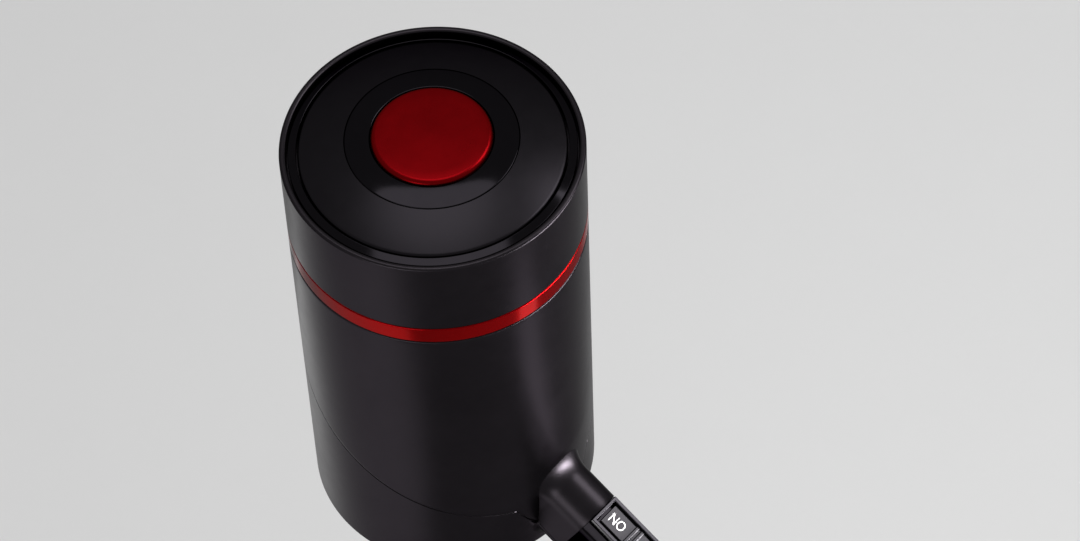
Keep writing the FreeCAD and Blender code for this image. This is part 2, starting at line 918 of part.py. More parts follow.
def rounded_path(points, radius):
    """Straight runs through points with a tangent arc at each inner corner."""
    edges = []
    start = points[0]
    for before, corner, after in zip(points, points[1:], points[2:]):
        back = (before - corner).normalize()
        ahead = (after - corner).normalize()
        half = back.getAngle(ahead) / 2
        trim = radius / math.tan(half)
        first = corner + back * trim
        last = corner + ahead * trim
        middle = corner + (back + ahead).normalize() * (radius / math.sin(half) - radius)
        edges.append(Part.LineSegment(start, first).toShape())
        edges.append(Part.Arc(first, middle, last).toShape())
        start = last
    edges.append(Part.LineSegment(start, points[-1]).toShape())
    return edges


def above_seam(shift_y=0.0, shift_z=0.0):
    """All space above the seam between main housing and base, across the whole head."""
    slope = D.seam_tilt.tan().value
    level = (BASE + D.seam_height).value
    front = -(D.head_radius - D.seam_inset).value
    far = 2 * D.head_radius.value
    sin, cos = SIN.value, COS.value
    depth = D.seam_depth.value
    drop_reach = -front + D.seam_step.value
    drop_level = SPOUT.value - (drop_reach + depth * sin) * sin / cos - depth * cos
    end_reach = 3 * D.head_radius.value
    end_level = SPOUT.value - (end_reach + depth * sin) * sin / cos - depth * cos
    x = -far
    line = [Vector(x, far, level + far * slope), Vector(x, front, level + front * slope),
            Vector(x, -drop_reach, drop_level), Vector(x, -end_reach, end_level)]
    edges = rounded_path(line, D.seam_bend.value)
    roof = 2 * RIM.value
    edges += [Part.LineSegment(line[3], Vector(x, -end_reach, roof)).toShape(),
              Part.LineSegment(Vector(x, -end_reach, roof), Vector(x, far, roof)).toShape(),
              Part.LineSegment(Vector(x, far, roof), line[0]).toShape()]
    space = Part.Face(Part.Wire(edges)).extrude(Vector(2 * far, 0, 0))
    space.translate(Vector(0, shift_y, shift_z))
    return space


def hollow():
    """The space inside the head and the spout's neck."""
    room = Part.makeCylinder(INNER.value, 2 * RIM.value, Vector(0, 0, FLOOR_TOP.value))
    counterbore = Part.makeCylinder(
        (D.head_radius - D.spigot_wall + D.seat_gap).value, 2 * RIM.value,
        Vector(0, 0, (BAND_LOW - D.spigot_depth - D.free_gap).value))
    return room.fuse([counterbore, neck_hollow()])


def neck_hollow():
    start = D.head_radius.value / 2
    return spout_prism(start, (D.neck_reach + PAST).value, D.spout_wall.value)


HEAD = head_block().fuse(flared_root()).cut(hollow())


def make_main_housing():
    """Upright shell from the red band to the slanted seam, with the upper half of the spout."""
    return moulded("main_housing", HEAD.common(above_seam()))


def cylinders(places, radius, low, high):
    """Equal upright cylinders at several places."""
    rods = []
    for x, y in places:
        rods.append(Part.makeCylinder(size(radius).value, size(high).value - size(low).value,
                                      Vector(size(x).value, size(y).value, size(low).value)))
    return rods


def box(x_low, x_high, y_low, y_high, z_low, z_high):
    low = [size(value).value for value in (x_low, y_low, z_low)]
    high = [size(value).value for value in (x_high, y_high, z_high)]
    return Part.makeBox(high[0] - low[0], high[1] - low[1], high[2] - low[2], Vector(*low))


HEAD_WALL = 0.7
PIVOT = CUPS_LOW + D.pivot_rise
PORT_LEVEL = BASE + D.port_height
PORT_BOARD = PORT_LEVEL - D.port_thick / 2
PORT_UNDER = PORT_BOARD - D.port_board_thick - D.seat_gap * 2
COVER_LOW = PORT_LEVEL - D.cover_tall / 2
KNUCKLE = COVER_LOW + D.knuckle_radius + D.hairline
KNUCKLE_BACK = D.head_radius - D.knuckle_radius - D.seat_gap
COVER_FLOOR = D.head_radius - D.cover_thick - D.hairline
SCREW_HEAD = D.column_radius - HEAD_WALL
PORT_POST_X = D.port_width / 2 + D.port_post_out
PORT_POSTS = [(-PORT_POST_X, D.port_post_place), (PORT_POST_X, D.port_post_place)]


def make_base_shell():
    """Cup under the seam: floor, plug pad, screw bosses, seam tongue and the charge port's recess."""
    shell = HEAD.cut(above_seam(D.seam_shift.value, -D.hairline.value))
    pad = Part.makeCylinder(D.pad_radius.value, D.pad_thick.value, Vector(0, 0, BASE.value))
    bosses = cylinders(column_places(), D.column_radius + D.boss_wall, BASE + D.floor_thick / 2,
                       FLOOR_TOP + D.boss_rise)
    posts = cylinders(PORT_POSTS, D.port_post_radius, BASE + D.floor_thick / 2, PORT_UNDER)
    half = D.cover_width / 2 + D.port_wall
    back = box(-half, half, D.head_radius - D.port_wall_depth, D.head_radius,
               COVER_LOW - D.port_wall, COVER_LOW + D.cover_tall + D.port_wall)
    back = back.common(Part.makeCylinder((INNER + D.boss_wall).value, RIM.value))
    bitten = (INNER + D.tongue_bite).value
    low = above_seam(0, -D.tongue_height.value)
    tongue_low = Part.makeCylinder(bitten, RIM.value).cut(above_seam(0, -D.seam_inset.value / 4)).common(low)
    tongue_high = Part.makeCylinder((INNER - D.hairline).value, RIM.value)
    tongue_high = tongue_high.cut(above_seam(0, D.tongue_height.value)).common(low)
    core = Part.makeCylinder((INNER - D.tongue_wall).value, 2 * RIM.value)
    tongue = tongue_low.fuse(tongue_high).cut(core)
    side = D.spout_radius + D.tongue_room
    front = box(-side, side, -2 * D.head_radius, -(D.head_radius / 2), 0, RIM)
    inside = Part.makeCylinder(bitten, RIM.value, Vector(0, 0, FLOOR_TOP.value))
    tongue = tongue.cut(front).common(inside)
    shell = shell.fuse([pad, back, tongue] + bosses + posts)
    cuts = cylinders([(0, 0)], D.spigot_radius + D.guide_gap, 0, RIM)
    cuts += cylinders(column_places(), SCREW_HEAD + D.seat_gap * 2, 0,
                      FLOOR_TOP + D.base_head_height / 2 + D.seat_gap)
    cuts += cylinders(column_places(), D.screw_radius + D.hairline, 0, RIM / 2)
    small = D.small_screw_radius + D.seat_gap
    cuts += cylinders(core_screw_places(), small, BASE + PAST, PAD_TOP + PAST)
    low = PORT_BOARD - D.small_screw_length - D.port_board_thick - D.screw_room
    cuts += cylinders(PORT_POSTS, small, low, PORT_BOARD + PAST)
    cuts.append(box(-D.cover_width / 2, D.cover_width / 2, COVER_FLOOR, 2 * D.head_radius,
                    COVER_LOW, COVER_LOW + D.cover_tall))
    cuts.append(port_block(D.guide_gap.value, D.head_radius.value))
    cuts.append(cross_rod(D.knuckle_radius + D.hairline, D.cover_width))
    cuts.append(cross_rod(D.port_pin_radius + D.seat_gap,
                          D.cover_width + D.pin_reach * 2 + D.guide_gap))
    return moulded("base_shell", shell.cut(cuts))


def cross_rod(radius, length):
    """A cylinder on the port cover's hinge line."""
    length = size(length).value
    return Part.makeCylinder(size(radius).value, length,
                             Vector(-length / 2, KNUCKLE_BACK.value, KNUCKLE.value), Vector(1, 0, 0))


def core_screw_places():
    """Three screws that hold the plug core down on its pad."""
    return three_places(D.core_screw_ring, SCREW_TURN)


def port_block(grow, depth):
    """The charge socket's rounded outline, run backwards along +Y."""
    half = D.port_width.value / 2 + grow
    tall = D.port_thick.value / 2 + grow
    level = PORT_LEVEL.value
    start = D.port_start.value
    middle = Part.makeBox(2 * (half - tall), depth, 2 * tall, Vector(-(half - tall), start, level - tall))
    ends = [Part.makeCylinder(tall, depth, Vector(side * (half - tall), start, level), Vector(0, 1, 0))
            for side in (-1, 1)]
    return middle.fuse(ends)


def make_upper_housing():
    """Top ring of the head with its rim, shelf, screw bosses and the spigot that carries the band."""
    body = new_body("upper_housing")
    radius = D.head_radius
    rim_in = radius - D.rim_width
    spigot_out = radius - D.spigot_wall
    spigot_in = spigot_out - D.spigot_wall
    low = BAND_TOP + D.hairline
    spin(body, [
        (radius, low), (radius, RIM), (rim_in, RIM), (rim_in, SHELF), (SHELF_BORE, SHELF),
        (SHELF_BORE, SHELF - D.shelf_thick), (INNER, SHELF - D.shelf_thick), (INNER, low + D.root_high),
        (spigot_in, low + D.root_low), (spigot_in, BAND_LOW - D.spigot_depth),
        (spigot_out, BAND_LOW - D.spigot_depth), (spigot_out, low),
    ])
    prism(body, "Bosses", BOARD_TOP + D.seat_gap, SHELF - BOARD_TOP - D.seat_gap - D.shelf_thick / 2,
          circles=[(x, y, D.column_radius) for x, y in column_places()])
    prism(body, "ScrewHoles", BOARD, SHELF - BOARD + PAST, kind="Pocket",
          circles=[(x, y, D.hole_radius) for x, y in column_places()])
    prism(body, "HeadSeats", SHELF - D.head_sink, D.head_sink + PAST, kind="Pocket",
          circles=[(x, y, SCREW_HEAD) for x, y in column_places()])
    soften(body, "RimRound", D.rim_round, either(ring_edge(radius, RIM), ring_edge(rim_in, RIM)))
    soften(body, "EdgeBreak", D.edge_break, ring_edge(radius, low))
    return body


def make_red_band():
    """Gloss ring that shows between upper and main housing."""
    body = new_body("red_band")
    inner = D.head_radius - D.spigot_wall + D.seat_gap
    spin(body, [(inner, BAND_LOW), (D.head_radius, BAND_LOW), (D.head_radius, BAND_TOP), (inner, BAND_TOP)])
    soften(body, "EdgeBreak", D.band_edge,
           either(ring_edge(D.head_radius, BAND_LOW), ring_edge(D.head_radius, BAND_TOP)))
    return body


def make_bevel_ring():
    """Narrow ring between rim and top plate, its face falling outwards."""
    body = new_body("rim_bevel_ring")
    inner = PLATE_RADIUS + D.free_gap
    outer = D.head_radius - D.rim_width - D.free_gap
    top = RIM - D.plate_edge_drop
    spin(body, [(inner, SHELF + D.seat_gap), (outer, SHELF + D.seat_gap), (outer, top - D.bevel_drop),
                (inner, top)])
    return body


def make_top_plate():
    """Low domed ring that covers the shelf."""
    body = new_body("top_plate")
    edge = RIM - D.plate_edge_drop
    low = SHELF + D.seat_gap
    inner = PLATE_BORE + D.hairline
    lip = SHELF_BORE - D.guide_gap
    spin(body, [(inner, DOME_TOP), (inner, low - D.plate_lip), (lip, low - D.plate_lip), (lip, low),
                (PLATE_RADIUS, low), (PLATE_RADIUS, edge - D.bevel_drop, -D.plate_edge_arc),
                (PLATE_RADIUS - D.bevel_drop, edge, -D.plate_dome_arc)])
    return body


def make_button_bezel():
    """Gloss ring round the button, with a skirt that guides it and a flange under the top plate."""
    body = new_body("button_bezel")
    inner = BUTTON_RADIUS + D.guide_gap
    outer = PLATE_BORE
    low = SHELF - D.bezel_skirt
    flange_top = low + D.bezel_flange_thick
    top = DOME_TOP + D.bezel_proud
    spin(body, [(inner, low), (outer + D.bezel_flange, low), (outer + D.bezel_flange, flange_top),
                (outer, flange_top), (outer, top - D.bezel_edge), (outer - D.bezel_edge, top, -D.bezel_arc),
                (inner + D.bezel_lip, top + D.bezel_rise), (inner, top + D.bezel_lip)])
    return body


BUTTON_TOP = DOME_TOP + D.bezel_proud + D.bezel_rise + D.button_proud
PLUNGER_TOP = BOARD_TOP + D.switch_height
BUTTON_FOOT = PLUNGER_TOP + D.membrane + D.button_travel + D.hairline


def make_power_button():
    """Round thumb button: a crowned cup with a stop flange and a stem over the switch."""
    body = new_body("power_button")
    radius = BUTTON_RADIUS
    inner = radius - D.button_wall
    roof = BUTTON_TOP - D.button_skin
    edge = BUTTON_TOP - D.button_crown
    flange_top = SHELF - D.bezel_skirt - D.seat_gap * 2
    flange_low = flange_top - D.button_flange
    spin(body, [(0, BUTTON_FOOT), (D.stem_radius, BUTTON_FOOT), (D.stem_radius, roof), (inner, roof),
                (inner, flange_low), (radius + D.button_flange, flange_low),
                (radius + D.button_flange, flange_top), (radius, flange_top),
                (radius, edge, -D.button_arc), (0, BUTTON_TOP)])
    soften(body, "EdgeRound", D.button_edge, ring_edge(radius, edge))
    return body


def make_button_membrane():
    """Thin silicone cap that keeps splashes off the board."""
    body = new_body("button_membrane")
    low = BOARD_TOP + D.seat_gap
    foot = low + D.membrane_foot_thick
    top = PLUNGER_TOP + D.membrane + D.seat_gap
    spin(body, [(D.membrane_low - D.membrane_foot_thick, low), (D.membrane_foot, low), (D.membrane_foot, foot),
                (D.membrane_low, foot), (D.membrane_high, top), (0, top), (0, top - D.membrane),
                (D.membrane_high - D.membrane_side, top - D.membrane)])
    return body


def make_tact_switch():
    """Square switch under the button: its case and the round plunger."""
    body = new_body("tact_switch")
    half = D.switch_side / 2
    start = BOARD_TOP + D.switch_case
    prism(body, "Case", BOARD_TOP + D.seat_gap, D.switch_case, loops=[centred(D.switch_side, -half, half)])
    prism(body, "Plunger", start, PLUNGER_TOP - start, circles=[(0, 0, D.plunger_radius)])
    return body


# Chips under the board: left, front, right and back edges
CHIPS = [(6, -4, 11, 2), (-12, 3, -8, 9)]


def make_control_board():
    """Round board over the columns, with its chips below."""
    body = new_body("control_board")
    prism(body, "Disc", BOARD, D.board_thick, circles=[(0, 0, BOARD_RADIUS)])
    prism(body, "Holes", BOARD - PAST, D.board_thick + 2 * PAST, kind="Pocket",
          circles=[(x, y, D.hole_radius) for x, y in column_places()])
    prism(body, "Driver", BOARD - D.chip_height, D.chip_height + D.seat_gap,
          loops=[rectangle(*chip) for chip in CHIPS])
    return body


def screws(label, places, head_low, head_height, head_radius, shank_radius, shank_length, up=True):
    """Equal screws as one group of separate solids, heads at one level."""
    body_list = []
    for number, (x, y) in enumerate(places):
        direction = 1 if up else -1
        head = DOC.addObject("Part::Cylinder", f"{label}Head{number}")
        shank = DOC.addObject("Part::Cylinder", f"{label}Shank{number}")
        bind(head, "Radius", head_radius)
        bind(head, "Height", head_height)
        bind(shank, "Radius", shank_radius)
        bind(shank, "Height", shank_length)
        place(head, x, y, head_low)
        shank_low = size(head_low) + head_height if up else size(head_low) - shank_length
        place(shank, x, y, shank_low)
        pair = DOC.addObject("Part::Fuse", f"{label}Screw{number}")
        pair.Base = head
        pair.Tool = shank
        body_list.append(pair)
    group = DOC.addObject("Part::Compound", label.title().replace("_", ""))
    group.Links = body_list
    return node(group, label)


def make_screws():
    """Board and base screws meet the columns; core and pump screws hold their own pieces."""
    small = D.small_screw_radius
    screws("top_screws", column_places(), SHELF - D.head_sink + D.seat_gap, D.top_head_height,
           D.top_head_radius, D.screw_radius, D.screw_length, up=False)
    screws("base_screws", column_places(), FLOOR_TOP - D.base_head_height / 2, D.base_head_height,
           D.base_head_radius, D.screw_radius, D.screw_length)
    screws("core_screws", core_screw_places(), PAD_TOP + D.core_flange_thick + D.seat_gap,
           D.small_head_height, D.small_head_radius, small, D.small_screw_length - D.guide_gap, up=False)
    screws("charge_screws", PORT_POSTS, PORT_BOARD, D.port_head_height, D.port_head_radius, small,
           D.small_screw_length, up=False)
    pump = [(x, y - D.pump_place) for x, y in three_places(PUMP_SCREWS, SCREW_TURN)]
    screws("pump_screws", pump, DECK_TOP + D.hairline, D.small_head_height, D.small_head_radius, small,
           D.pump_screw_length)


def make_chassis():
    """Inner frame: deck, cups for pump and cell, web, four columns and their legs."""
    body = new_body("chassis")
    places = column_places()
    pump_in = D.pump_radius + D.free_gap
    cell_in = D.cell_radius + D.free_gap
    root = DECK_LOW + D.deck_bite
    prism(body, "Deck", DECK_LOW, D.deck_thick, circles=[(0, 0, DECK_RADIUS)])
    column_low = FLOOR_TOP + D.boss_rise + D.seat_gap
    prism(body, "Columns", column_low, BOARD - D.seat_gap - column_low,
          circles=[(x, y, D.column_radius) for x, y in places])
    web_back = D.cell_place - D.cell_radius - D.free_gap
    web_rise = CELL_LENGTH + D.web_rise
    prism(body, "Web", root, web_rise,
          loops=[centred((DECK_RADIUS - D.web_inset) * 2, web_back - D.web_thick, web_back)])
    for side, name in ((-1, "LeftRib"), (1, "RightRib")):
        near = COLUMN_RING * D.column_back.sin() * side
        prism(body, name, root, web_rise,
              loops=[rectangle(near - D.rib_half, web_back - D.deck_bite, near + D.rib_half,
                               COLUMN_RING * -(D.column_back.cos()))])
    prism(body, "PumpCup", root, D.pump_cup_depth, circles=[(*PUMP, pump_in + D.pump_cup_wall)])
    prism(body, "CellCup", root, D.cell_cup_depth, circles=[(0, D.cell_place, cell_in + D.cell_cup_wall)])
    prism(body, "MotorRing", CAN_TOP - D.motor_ring_drop, D.motor_ring_height,
          circles=[(*PUMP, pump_in + D.motor_ring_wall)])
    prism(body, "MotorSeat", CAN_LOW, CAN_TOP - CAN_LOW, kind="Pocket",
          circles=[(*PUMP, D.can_radius + D.free_gap)])
    prism(body, "PumpSeat", DECK_TOP, D.pump_seat_depth, circles=[(*PUMP, pump_in)], kind="Pocket")
    prism(body, "CellSeat", DECK_TOP, CELL_LENGTH + D.cell_cup_depth, kind="Pocket",
          circles=[(0, D.cell_place, cell_in)])
    prism(body, "AirHole", DECK_LOW - PAST, D.deck_thick + 2 * PAST, kind="Pocket",
          circles=[(*AIR_LINE, D.air_nipple_radius + D.air_hole_room)])
    prism(body, "WireHole", DECK_LOW - PAST, D.deck_thick + 2 * PAST, kind="Pocket",
          circles=[(-D.wire_x, D.wire_y, D.wire_hole)])
    pilot = [(x, y, D.screw_radius + D.seat_gap) for x, y in places]
    prism(body, "TopPilots", BOARD - D.top_pilot, D.top_pilot + PAST, circles=pilot, kind="Pocket")
    prism(body, "LowPilots", FLOOR_TOP, D.low_pilot, circles=pilot, kind="Pocket")
    return body


def make_battery():
    """Rechargeable cell with its collar and contact strips."""
    cell = new_body("battery_cell", (0, D.cell_place))
    low = DECK_TOP + D.cell_lift
    top = low + CELL_LENGTH
    groove = top - D.cell_groove_level
    step = top - D.cell_cap
    spin(cell, [(0, low), (D.cell_radius, low), (D.cell_radius, groove - D.cell_groove_half),
                (D.cell_radius - D.cell_groove, groove), (D.cell_radius, groove + D.cell_groove_half),
                (D.cell_radius, step), (D.cell_cap_radius, step), (D.cell_cap_radius, top), (0, top)])
    tabs = new_body("battery_tabs", (0, D.cell_place))
    for name, level in (("Low", DECK_TOP), ("High", top)):
        prism(tabs, name, level + D.seat_gap, D.tab_thick,
              loops=[centred(D.tab_width, -D.tab_near, D.tab_far)])
    return cell


def make_motor():
    """Brushed motor that stands on the pump: can, cap, magnets, bushes and rotor."""
    bearing = D.shaft_radius + D.running_gap
    wall_in = D.can_radius - D.can_wall
    can = new_body("motor_can", PUMP)
    spin(can, [(D.can_bore, CAN_LOW), (D.can_radius, CAN_LOW), (D.can_radius, CAN_TOP), (wall_in, CAN_TOP),
               (wall_in, CAN_LOW + D.can_wall), (D.can_bore, CAN_LOW + D.can_wall)])
    soften(can, "DrawRadius", D.can_round, ring_edge(D.can_radius, CAN_LOW))
    bushes = new_body("motor_bushes", PUMP)
    low = CAN_LOW - D.bush_proud
    high = CAN_LOW + D.bush_deep
    spin(bushes, [(bearing, low), (D.bush_out, low), (D.bush_out, high), (bearing, high)])
    prism(bushes, "TopBush", CAN_TOP - D.top_bush_drop, D.top_bush_length,
          circles=[(0, 0, D.bush_out), (0, 0, bearing)])
    cap = new_body("motor_end_cap", PUMP)
    outer = wall_in - D.seat_gap * 2
    inner = outer - D.cap_skirt
    boss = CAN_TOP - D.cap_boss_depth
    floor = CAN_TOP - D.cap_floor
    skirt = CAN_TOP - D.cap_skirt_depth
    rest = CAN_TOP + D.seat_gap
    top = CAN_TOP + D.cap_rise
    spin(cap, [(D.can_bore, boss), (D.cap_boss_radius, boss), (D.cap_boss_radius, floor), (inner, floor),
               (inner, skirt), (outer, skirt), (outer, rest), (D.can_radius, rest),
               (D.can_radius - D.cap_edge, top), (D.can_bore, top)])
    half = D.terminal_width / 2
    near = D.terminal_place - D.terminal_half
    far = D.terminal_place + D.terminal_half
    prism(cap, "Terminals", CAN_TOP + D.terminal_low, D.terminal_length,
          loops=[rectangle(-far, -half, -near, half), rectangle(near, -half, far, half)])
    make_magnets()
    make_rotor()


# Width of the slot between the magnets, as a share of the ring's radius
MAGNET_SLOT = 0.9


def make_magnets():
    """Two arc magnets glued inside the can."""
    outer = (D.can_radius - D.can_wall - D.seat_gap * 2).value
    inner = outer - D.magnet_thick.value
    low = (CAN_LOW + D.magnet_low).value
    height = (CAN_TOP - CAN_LOW - D.magnet_short).value
    ring = Part.makeCylinder(outer, height).cut(Part.makeCylinder(inner, height))
    wide = outer * MAGNET_SLOT
    slot = Part.makeBox(4 * outer, wide, height, Vector(-2 * outer, -wide / 2, 0))
    magnets = ring.cut(slot)
    magnets.translate(Vector(0, -D.pump_place.value, low))
    moulded("motor_magnets", Part.makeCompound(magnets.Solids))


def spoke(number, corners):
    """Corners given ahead of and beside one of three equal directions, turned into x and y."""
    turn = math.radians(ARM_TURN + 120 * number)
    cos, sin = math.cos(turn), math.sin(turn)
    turned = []
    for ahead, side in corners:
        ahead, side = size(ahead).value, size(side).value
        turned.append((ahead * cos - side * sin, ahead * sin + side * cos))
    return turned


def make_rotor():
    """Shaft with a three-pole wound core and the commutator."""
    body = new_body("motor_rotor", PUMP)
    core_low = CAN_LOW + D.core_rise
    core_high = CAN_TOP - D.core_drop
    pole = D.can_radius - D.can_wall - D.pole_gap
    ring_low = core_high + D.commutator_low
    ring_high = core_high + D.commutator_high
    top = CAN_TOP + D.shaft_proud
    spin(body, [(0, SHAFT_LOW), (D.shaft_radius, SHAFT_LOW), (D.shaft_radius, ring_low),
                (D.commutator_radius, ring_low), (D.commutator_radius, ring_high),
                (D.shaft_radius, ring_high), (D.shaft_radius, top), (0, top)])
    prism(body, "Hub", core_low, core_high - core_low, circles=[(0, 0, D.hub_radius)])
    shoe = pole - D.shoe_deep
    face = pole - D.shoe_face
    outline = [(D.pole_root, -D.pole_half), (shoe, -D.shoe_back), (face, -D.shoe_half),
               (face, D.shoe_half), (shoe, D.shoe_back), (D.pole_root, D.pole_half)]
    for number in range(3):
        prism(body, f"Pole{number}", core_low, core_high - core_low, loops=[spoke(number, outline)])
    return body


def wobble_frame(body, rise):
    """Stand a body on the crank's slanted pin, rise above the pivot along it."""
    tilt = D.wobble_tilt
    place(body, tilt.sin() * rise, -D.pump_place, PIVOT + tilt.cos() * rise, Vector(0, 1, 0), tilt)


def make_wobble_drive():
    """Crank on the shaft, its slanted pin and the three-armed plate that nods round it."""
    pin_length = (CRANK_LOW - PIVOT) / D.wobble_tilt.cos() + D.pin_bury
    play = D.seat_gap.value * 2
    thick = D.crank_thick.value
    centre = Vector(0, -D.pump_place.value, 0)
    disc = Part.makeCylinder(D.crank_radius.value, thick, centre + Vector(0, 0, CRANK_LOW.value))
    shaft = Part.makeCylinder((D.shaft_radius + D.press_fit).value, thick,
                              centre + Vector(0, 0, SHAFT_LOW.value - play))
    lean = Vector(D.wobble_tilt.sin().value, 0, D.wobble_tilt.cos().value)
    socket = Part.makeCylinder((D.pin_radius + D.press_fit).value, pin_length.value + play,
                               centre + Vector(0, 0, PIVOT.value), lean)
    moulded("pump_crank", disc.cut([shaft, socket]))
    pin = new_body("crank_pin")
    wobble_frame(pin, 0)
    spin(pin, [(0, -D.pin_tail), (D.pin_radius, -D.pin_tail), (D.pin_radius, pin_length), (0, pin_length)])
    plate = new_body("wobble_plate")
    wobble_frame(plate, 0)
    bore = D.pin_radius + D.running_gap
    spin(plate, [(bore, -D.hub_drop), (D.hub_out, -D.hub_drop), (D.hub_out, D.hub_top), (bore, D.hub_top)])
    outline = [(D.arm_root, -D.arm_root), (D.wobble_arm, -D.arm_half), (D.wobble_arm, D.arm_half),
               (D.arm_root, D.arm_root)]
    for number in range(3):
        prism(plate, f"Arm{number}", D.arm_low, D.arm_thick, loops=[spoke(number, outline)])
        tip = spoke(number, [(D.wobble_arm, 0)])[0]
        prism(plate, f"Eye{number}", D.arm_low, D.arm_thick, circles=[(*tip, D.eye_radius)])
        prism(plate, f"Hole{number}", D.arm_low - PAST, D.arm_thick + 2 * PAST,
              circles=[(*tip, D.eye_hole)], kind="Pocket")
    return plate


def three_places(arm, start=ARM_TURN):
    """Three equal places on a circle."""
    places = []
    for number in range(3):
        turn = math.radians(start + 120 * number)
        places.append((size(arm) * math.cos(turn), size(arm) * math.sin(turn)))
    return places


def make_pump():
    """Pump body from below: cover with outlet, valve seat, rubber cups and the round frame."""
    cup_places = three_places(D.wobble_arm)
    screw_places = three_places(PUMP_SCREWS, SCREW_TURN)
    holes = [(x, y, D.pump_screw_hole) for x, y in screw_places]
    outlet = (D.air_line_x, D.pump_place - D.air_line_y)
    cover_top = D.deck_thick + D.cover_height + PAST
    cover = new_body("pump_cover", PUMP)
    prism(cover, "Disc", DECK_TOP + D.seat_gap, D.cover_height - D.seat_gap * 2,
          circles=[(0, 0, D.pump_radius)])
    prism(cover, "Nipple", DECK_LOW - D.nipple_drop, D.deck_thick + D.nipple_drop + PAST,
          circles=[(*outlet, D.air_nipple_radius)])
    prism(cover, "Manifold", SEAT_LOW - D.manifold_depth, D.manifold_depth + PAST, kind="Pocket",
          circles=[(0, 0, D.manifold_radius)])
    prism(cover, "OutletBore", DECK_LOW - D.nipple_drop - PAST, cover_top + D.nipple_drop + PAST,
          circles=[(*outlet, D.port_bore)], kind="Pocket")
    prism(cover, "ScrewHoles", DECK_LOW, cover_top, circles=holes, kind="Pocket")
    prism(cover, "HeadSeats", DECK_TOP - PAST, PAST + D.head_sink, kind="Pocket",
          circles=[(x, y, D.small_head_radius + D.guide_gap) for x, y in screw_places])
    seat = new_body("valve_seat_plate", PUMP)
    prism(seat, "Disc", SEAT_LOW, D.seat_height - D.seat_gap, circles=[(0, 0, D.pump_radius)])
    ports = [(x, y, D.inlet_hole) for x, y in three_places(D.wobble_arm - D.inlet_inset)]
    ports += [(x, y, D.valve_hole) for x, y in cup_places]
    prism(seat, "Ports", SEAT_LOW - PAST, D.seat_height + 2 * PAST, circles=ports + holes, kind="Pocket")
    valves = new_body("umbrella_valves", PUMP)
    prism(valves, "Stems", SEAT_LOW - D.stem_drop, D.seat_height + D.stem_drop,
          circles=[(x, y, D.valve_stem) for x, y in cup_places])
    prism(valves, "Discs", SEAT_LOW - D.valve_disc_thick - D.seat_gap, D.valve_disc_thick,
          circles=[(x, y, D.valve_disc) for x, y in cup_places])
    make_pump_rubber()
    frame = new_body("pump_frame", PUMP)
    inner = D.pump_radius - D.pump_wall
    top = CAN_LOW - D.seat_gap
    roof = CAN_LOW - D.frame_roof
    spin(frame, [(inner, CUPS_LOW), (D.pump_radius, CUPS_LOW), (D.pump_radius, top), (D.frame_bore, top),
                 (D.frame_bore, roof), (inner, roof)])
    prism(frame, "ScrewLugs", CUPS_LOW + D.lug_low, D.lug_height,
          circles=[(x, y, D.lug_radius) for x, y in screw_places])
    prism(frame, "Pilots", CUPS_LOW, D.pilot_depth, kind="Pocket",
          circles=[(x, y, D.small_screw_radius + D.seat_gap) for x, y in screw_places])


def make_pump_rubber():
    """One rubber moulding with a hollow cup and a knobbed stem under each arm of the plate."""
    sheet = D.rubber_plate.value
    cups = Part.makeCylinder((D.pump_radius - D.pump_wall - D.free_gap).value, sheet)
    radius, tall = D.cup_radius.value, D.cup_height.value
    for x, y in three_places(D.wobble_arm):
        at = Vector(x.value, y.value, 0)
        outer = Part.makeCone(radius, radius - D.cup_taper.value, tall, at)
        stem = Part.makeCylinder(D.cup_stem.value, D.cup_stem_length.value,
                                 at + Vector(0, 0, tall - D.guide_gap.value))
        knob = Part.makeCylinder(D.knob_radius.value, D.knob_thick.value,
                                 at + Vector(0, 0, D.knob_level.value))
        inner = Part.makeCone(radius - D.cup_skin.value, radius - D.cup_roof_inset.value,
                              tall - D.cup_skin.value, at + Vector(0, 0, -OVERLAP))
        cups = cups.fuse([outer, stem, knob]).cut(inner)
    cups = cups.cut(cylinders(three_places(PUMP_SCREWS, SCREW_TURN), D.rubber_hole, -PAST, sheet + PAST))
    cups.translate(Vector(0, -D.pump_place.value, CUPS_LOW.value))
    moulded("diaphragm_cups", cups)


def make_air_line():
    """Hose, one-way valve and hose, straight down from the pump to the plug core."""
    bore = D.air_nipple_radius + D.seat_gap
    low_nipple = PAD_TOP + D.core_flange_thick
    low = low_nipple + D.valve_rise
    high = DECK_LOW - D.valve_drop
    valve = new_body("check_valve_body", AIR_LINE)
    nip = D.air_nipple_radius
    cone = D.valve_nipple + D.valve_cone
    floor, roof = low + D.valve_floor, high - D.valve_floor
    spin(valve, [(D.port_bore, low), (nip, low), (nip, low + D.valve_nipple), (D.valve_radius, low + cone),
                 (D.valve_radius, high - cone), (nip, high - D.valve_nipple), (nip, high),
                 (D.port_bore, high), (D.port_bore, roof), (D.valve_bore, roof),
                 (D.valve_bore, floor), (D.port_bore, floor)])
    flap = new_body("duckbill_valve", AIR_LINE)
    top = roof - D.seat_gap
    end = top - D.flap_length
    edge = D.valve_bore - D.seat_gap * 2
    spin(flap, [(D.flap_bore, top), (D.flap_bore, top - D.flap_neck), (D.flap_slit, end), (D.flap_tip, end),
                (D.flap_root, top - D.flap_flange), (edge, top - D.flap_flange), (edge, top)])
    hoses = new_body("air_hoses", AIR_LINE)
    start, stop = high - D.hose_grip, DECK_LOW - D.hose_stop
    spin(hoses, [(bore, start), (D.air_hose_radius, start), (D.air_hose_radius, stop), (bore, stop)])
    prism(hoses, "LowHose", low_nipple + D.hose_stop, D.valve_rise + D.hose_grip - D.hose_stop,
          circles=[(0, 0, D.air_hose_radius), (0, 0, bore)])


PLUG_RIBS = 4


